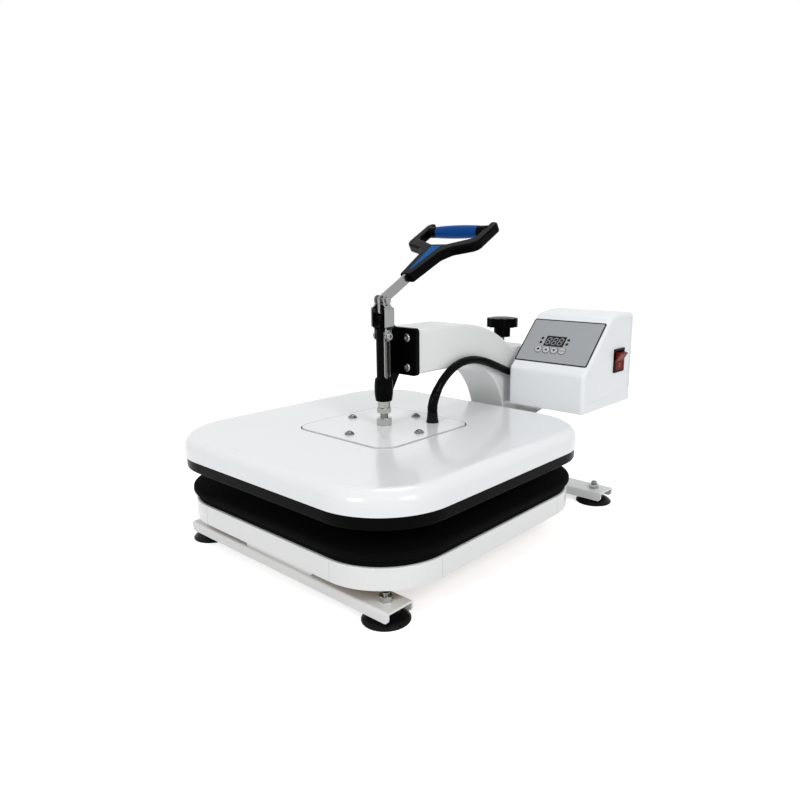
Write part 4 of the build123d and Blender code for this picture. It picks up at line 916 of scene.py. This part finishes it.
def make_marks():
    """Display digits, button rings and marks, switch marks."""
    new_piece("display_digits", segment_bars, segment_grey, "swing_arm", False)
    new_piece("button_rings", button_rings, print_black, "swing_arm", False)
    for name, across in button_places.items():
        mark = button_mark(name, across)
        new_piece(name + "_mark", mark, print_black, name, False)
    new_piece("rocker_marks", rocker_marks, print_white, "power_rocker", False)


# Floor, light and background
floor_glow = 0.62
world_light = 0.56
world_white = 1.0
lamp_aim = Vector((0, 0, 0.15))


def seen_rays(tree):
    """The kinds of ray, and 1 for rays of the camera and of mirrors."""
    rays = add_node(tree, "ShaderNodeLightPath", "which ray").outputs
    seen = arithmetic(tree, "MAXIMUM", rays["Is Camera Ray"], rays["Is Glossy Ray"], "seen")
    return rays, seen


def white_to_the_eye(tree, surface, glow):
    """Adds light that only the camera and mirrors see, so that the floor reads as white."""
    seen = seen_rays(tree)[1]
    strength = arithmetic(tree, "MULTIPLY", seen, glow, "only when seen")
    lit = add_node(tree, "ShaderNodeEmission", "lift to white")
    tree.links.new(strength, lit.inputs["Strength"])
    both = tree.nodes.new("ShaderNodeAddShader")
    tree.links.new(surface, both.inputs[0])
    tree.links.new(lit.outputs[0], both.inputs[1])
    tree.links.new(both.outputs[0], tree.nodes["Material Output"].inputs["Surface"])


def make_floor():
    """A plain pale floor that keeps the machine's shadow."""
    mesh = bpy.data.meshes.new("studio_floor")
    build = bmesh.new()
    bmesh.ops.create_grid(build, x_segments=1, y_segments=1, size=14)
    build.to_mesh(mesh)
    build.free()
    floor = bpy.data.objects.new("studio_floor", mesh)
    scene.collection.objects.link(floor)
    paper = bpy.data.materials.new("studio_paper")
    paper.use_nodes = True
    shader = paper.node_tree.nodes["Principled BSDF"]
    shader.inputs["Base Color"].default_value = (0.8, 0.8, 0.8, 1)
    shader.inputs["Roughness"].default_value = 0.9
    shader.inputs["Specular IOR Level"].default_value = 0.1
    white_to_the_eye(paper.node_tree, shader.outputs[0], floor_glow)
    mesh.materials.append(paper)


def make_world():
    """Soft white surroundings, plain white where the camera or a mirror sees them."""
    world = bpy.data.worlds.new("studio")
    scene.world = world
    world.use_nodes = True
    tree = world.node_tree
    sky = tree.nodes["Background"]
    sky.inputs["Color"].default_value = (1, 1, 1, 1)
    rays, seen = seen_rays(tree)
    glass_ray = rays["Is Transmission Ray"]
    seen = arithmetic(tree, "MAXIMUM", seen, glass_ray, "seen through glass")
    level = add_node(tree, "ShaderNodeMapRange", "light level")
    level.inputs["To Min"].default_value = world_light
    level.inputs["To Max"].default_value = world_white
    tree.links.new(seen, level.inputs["Value"])
    tree.links.new(level.outputs["Result"], sky.inputs["Strength"])


def make_lamp(name, place, size, power):
    """One soft lamp that looks at the machine."""
    light = bpy.data.lights.new(name, "AREA")
    light.shape = "DISK"
    light.size = size
    light.energy = power
    lamp = bpy.data.objects.new(name, light)
    lamp.location = place
    toward = lamp_aim - Vector(place)
    lamp.rotation_euler = toward.to_track_quat("-Z", "Y").to_euler()
    scene.collection.objects.link(lamp)


place_camera()
wear_finishes()
make_foam()
make_shrink_sleeve(make_cable())
make_marks()
make_floor()
make_world()
make_lamp("key_lamp", (1.9, -0.5, 1.6), 0.7, 17)
make_lamp("front_lamp", (0.2, -2.2, 1.3), 0.8, 13)
make_lamp("top_lamp", (-0.4, 0.6, 2.2), 0.9, 7)
scene.view_settings.view_transform = "Standard"
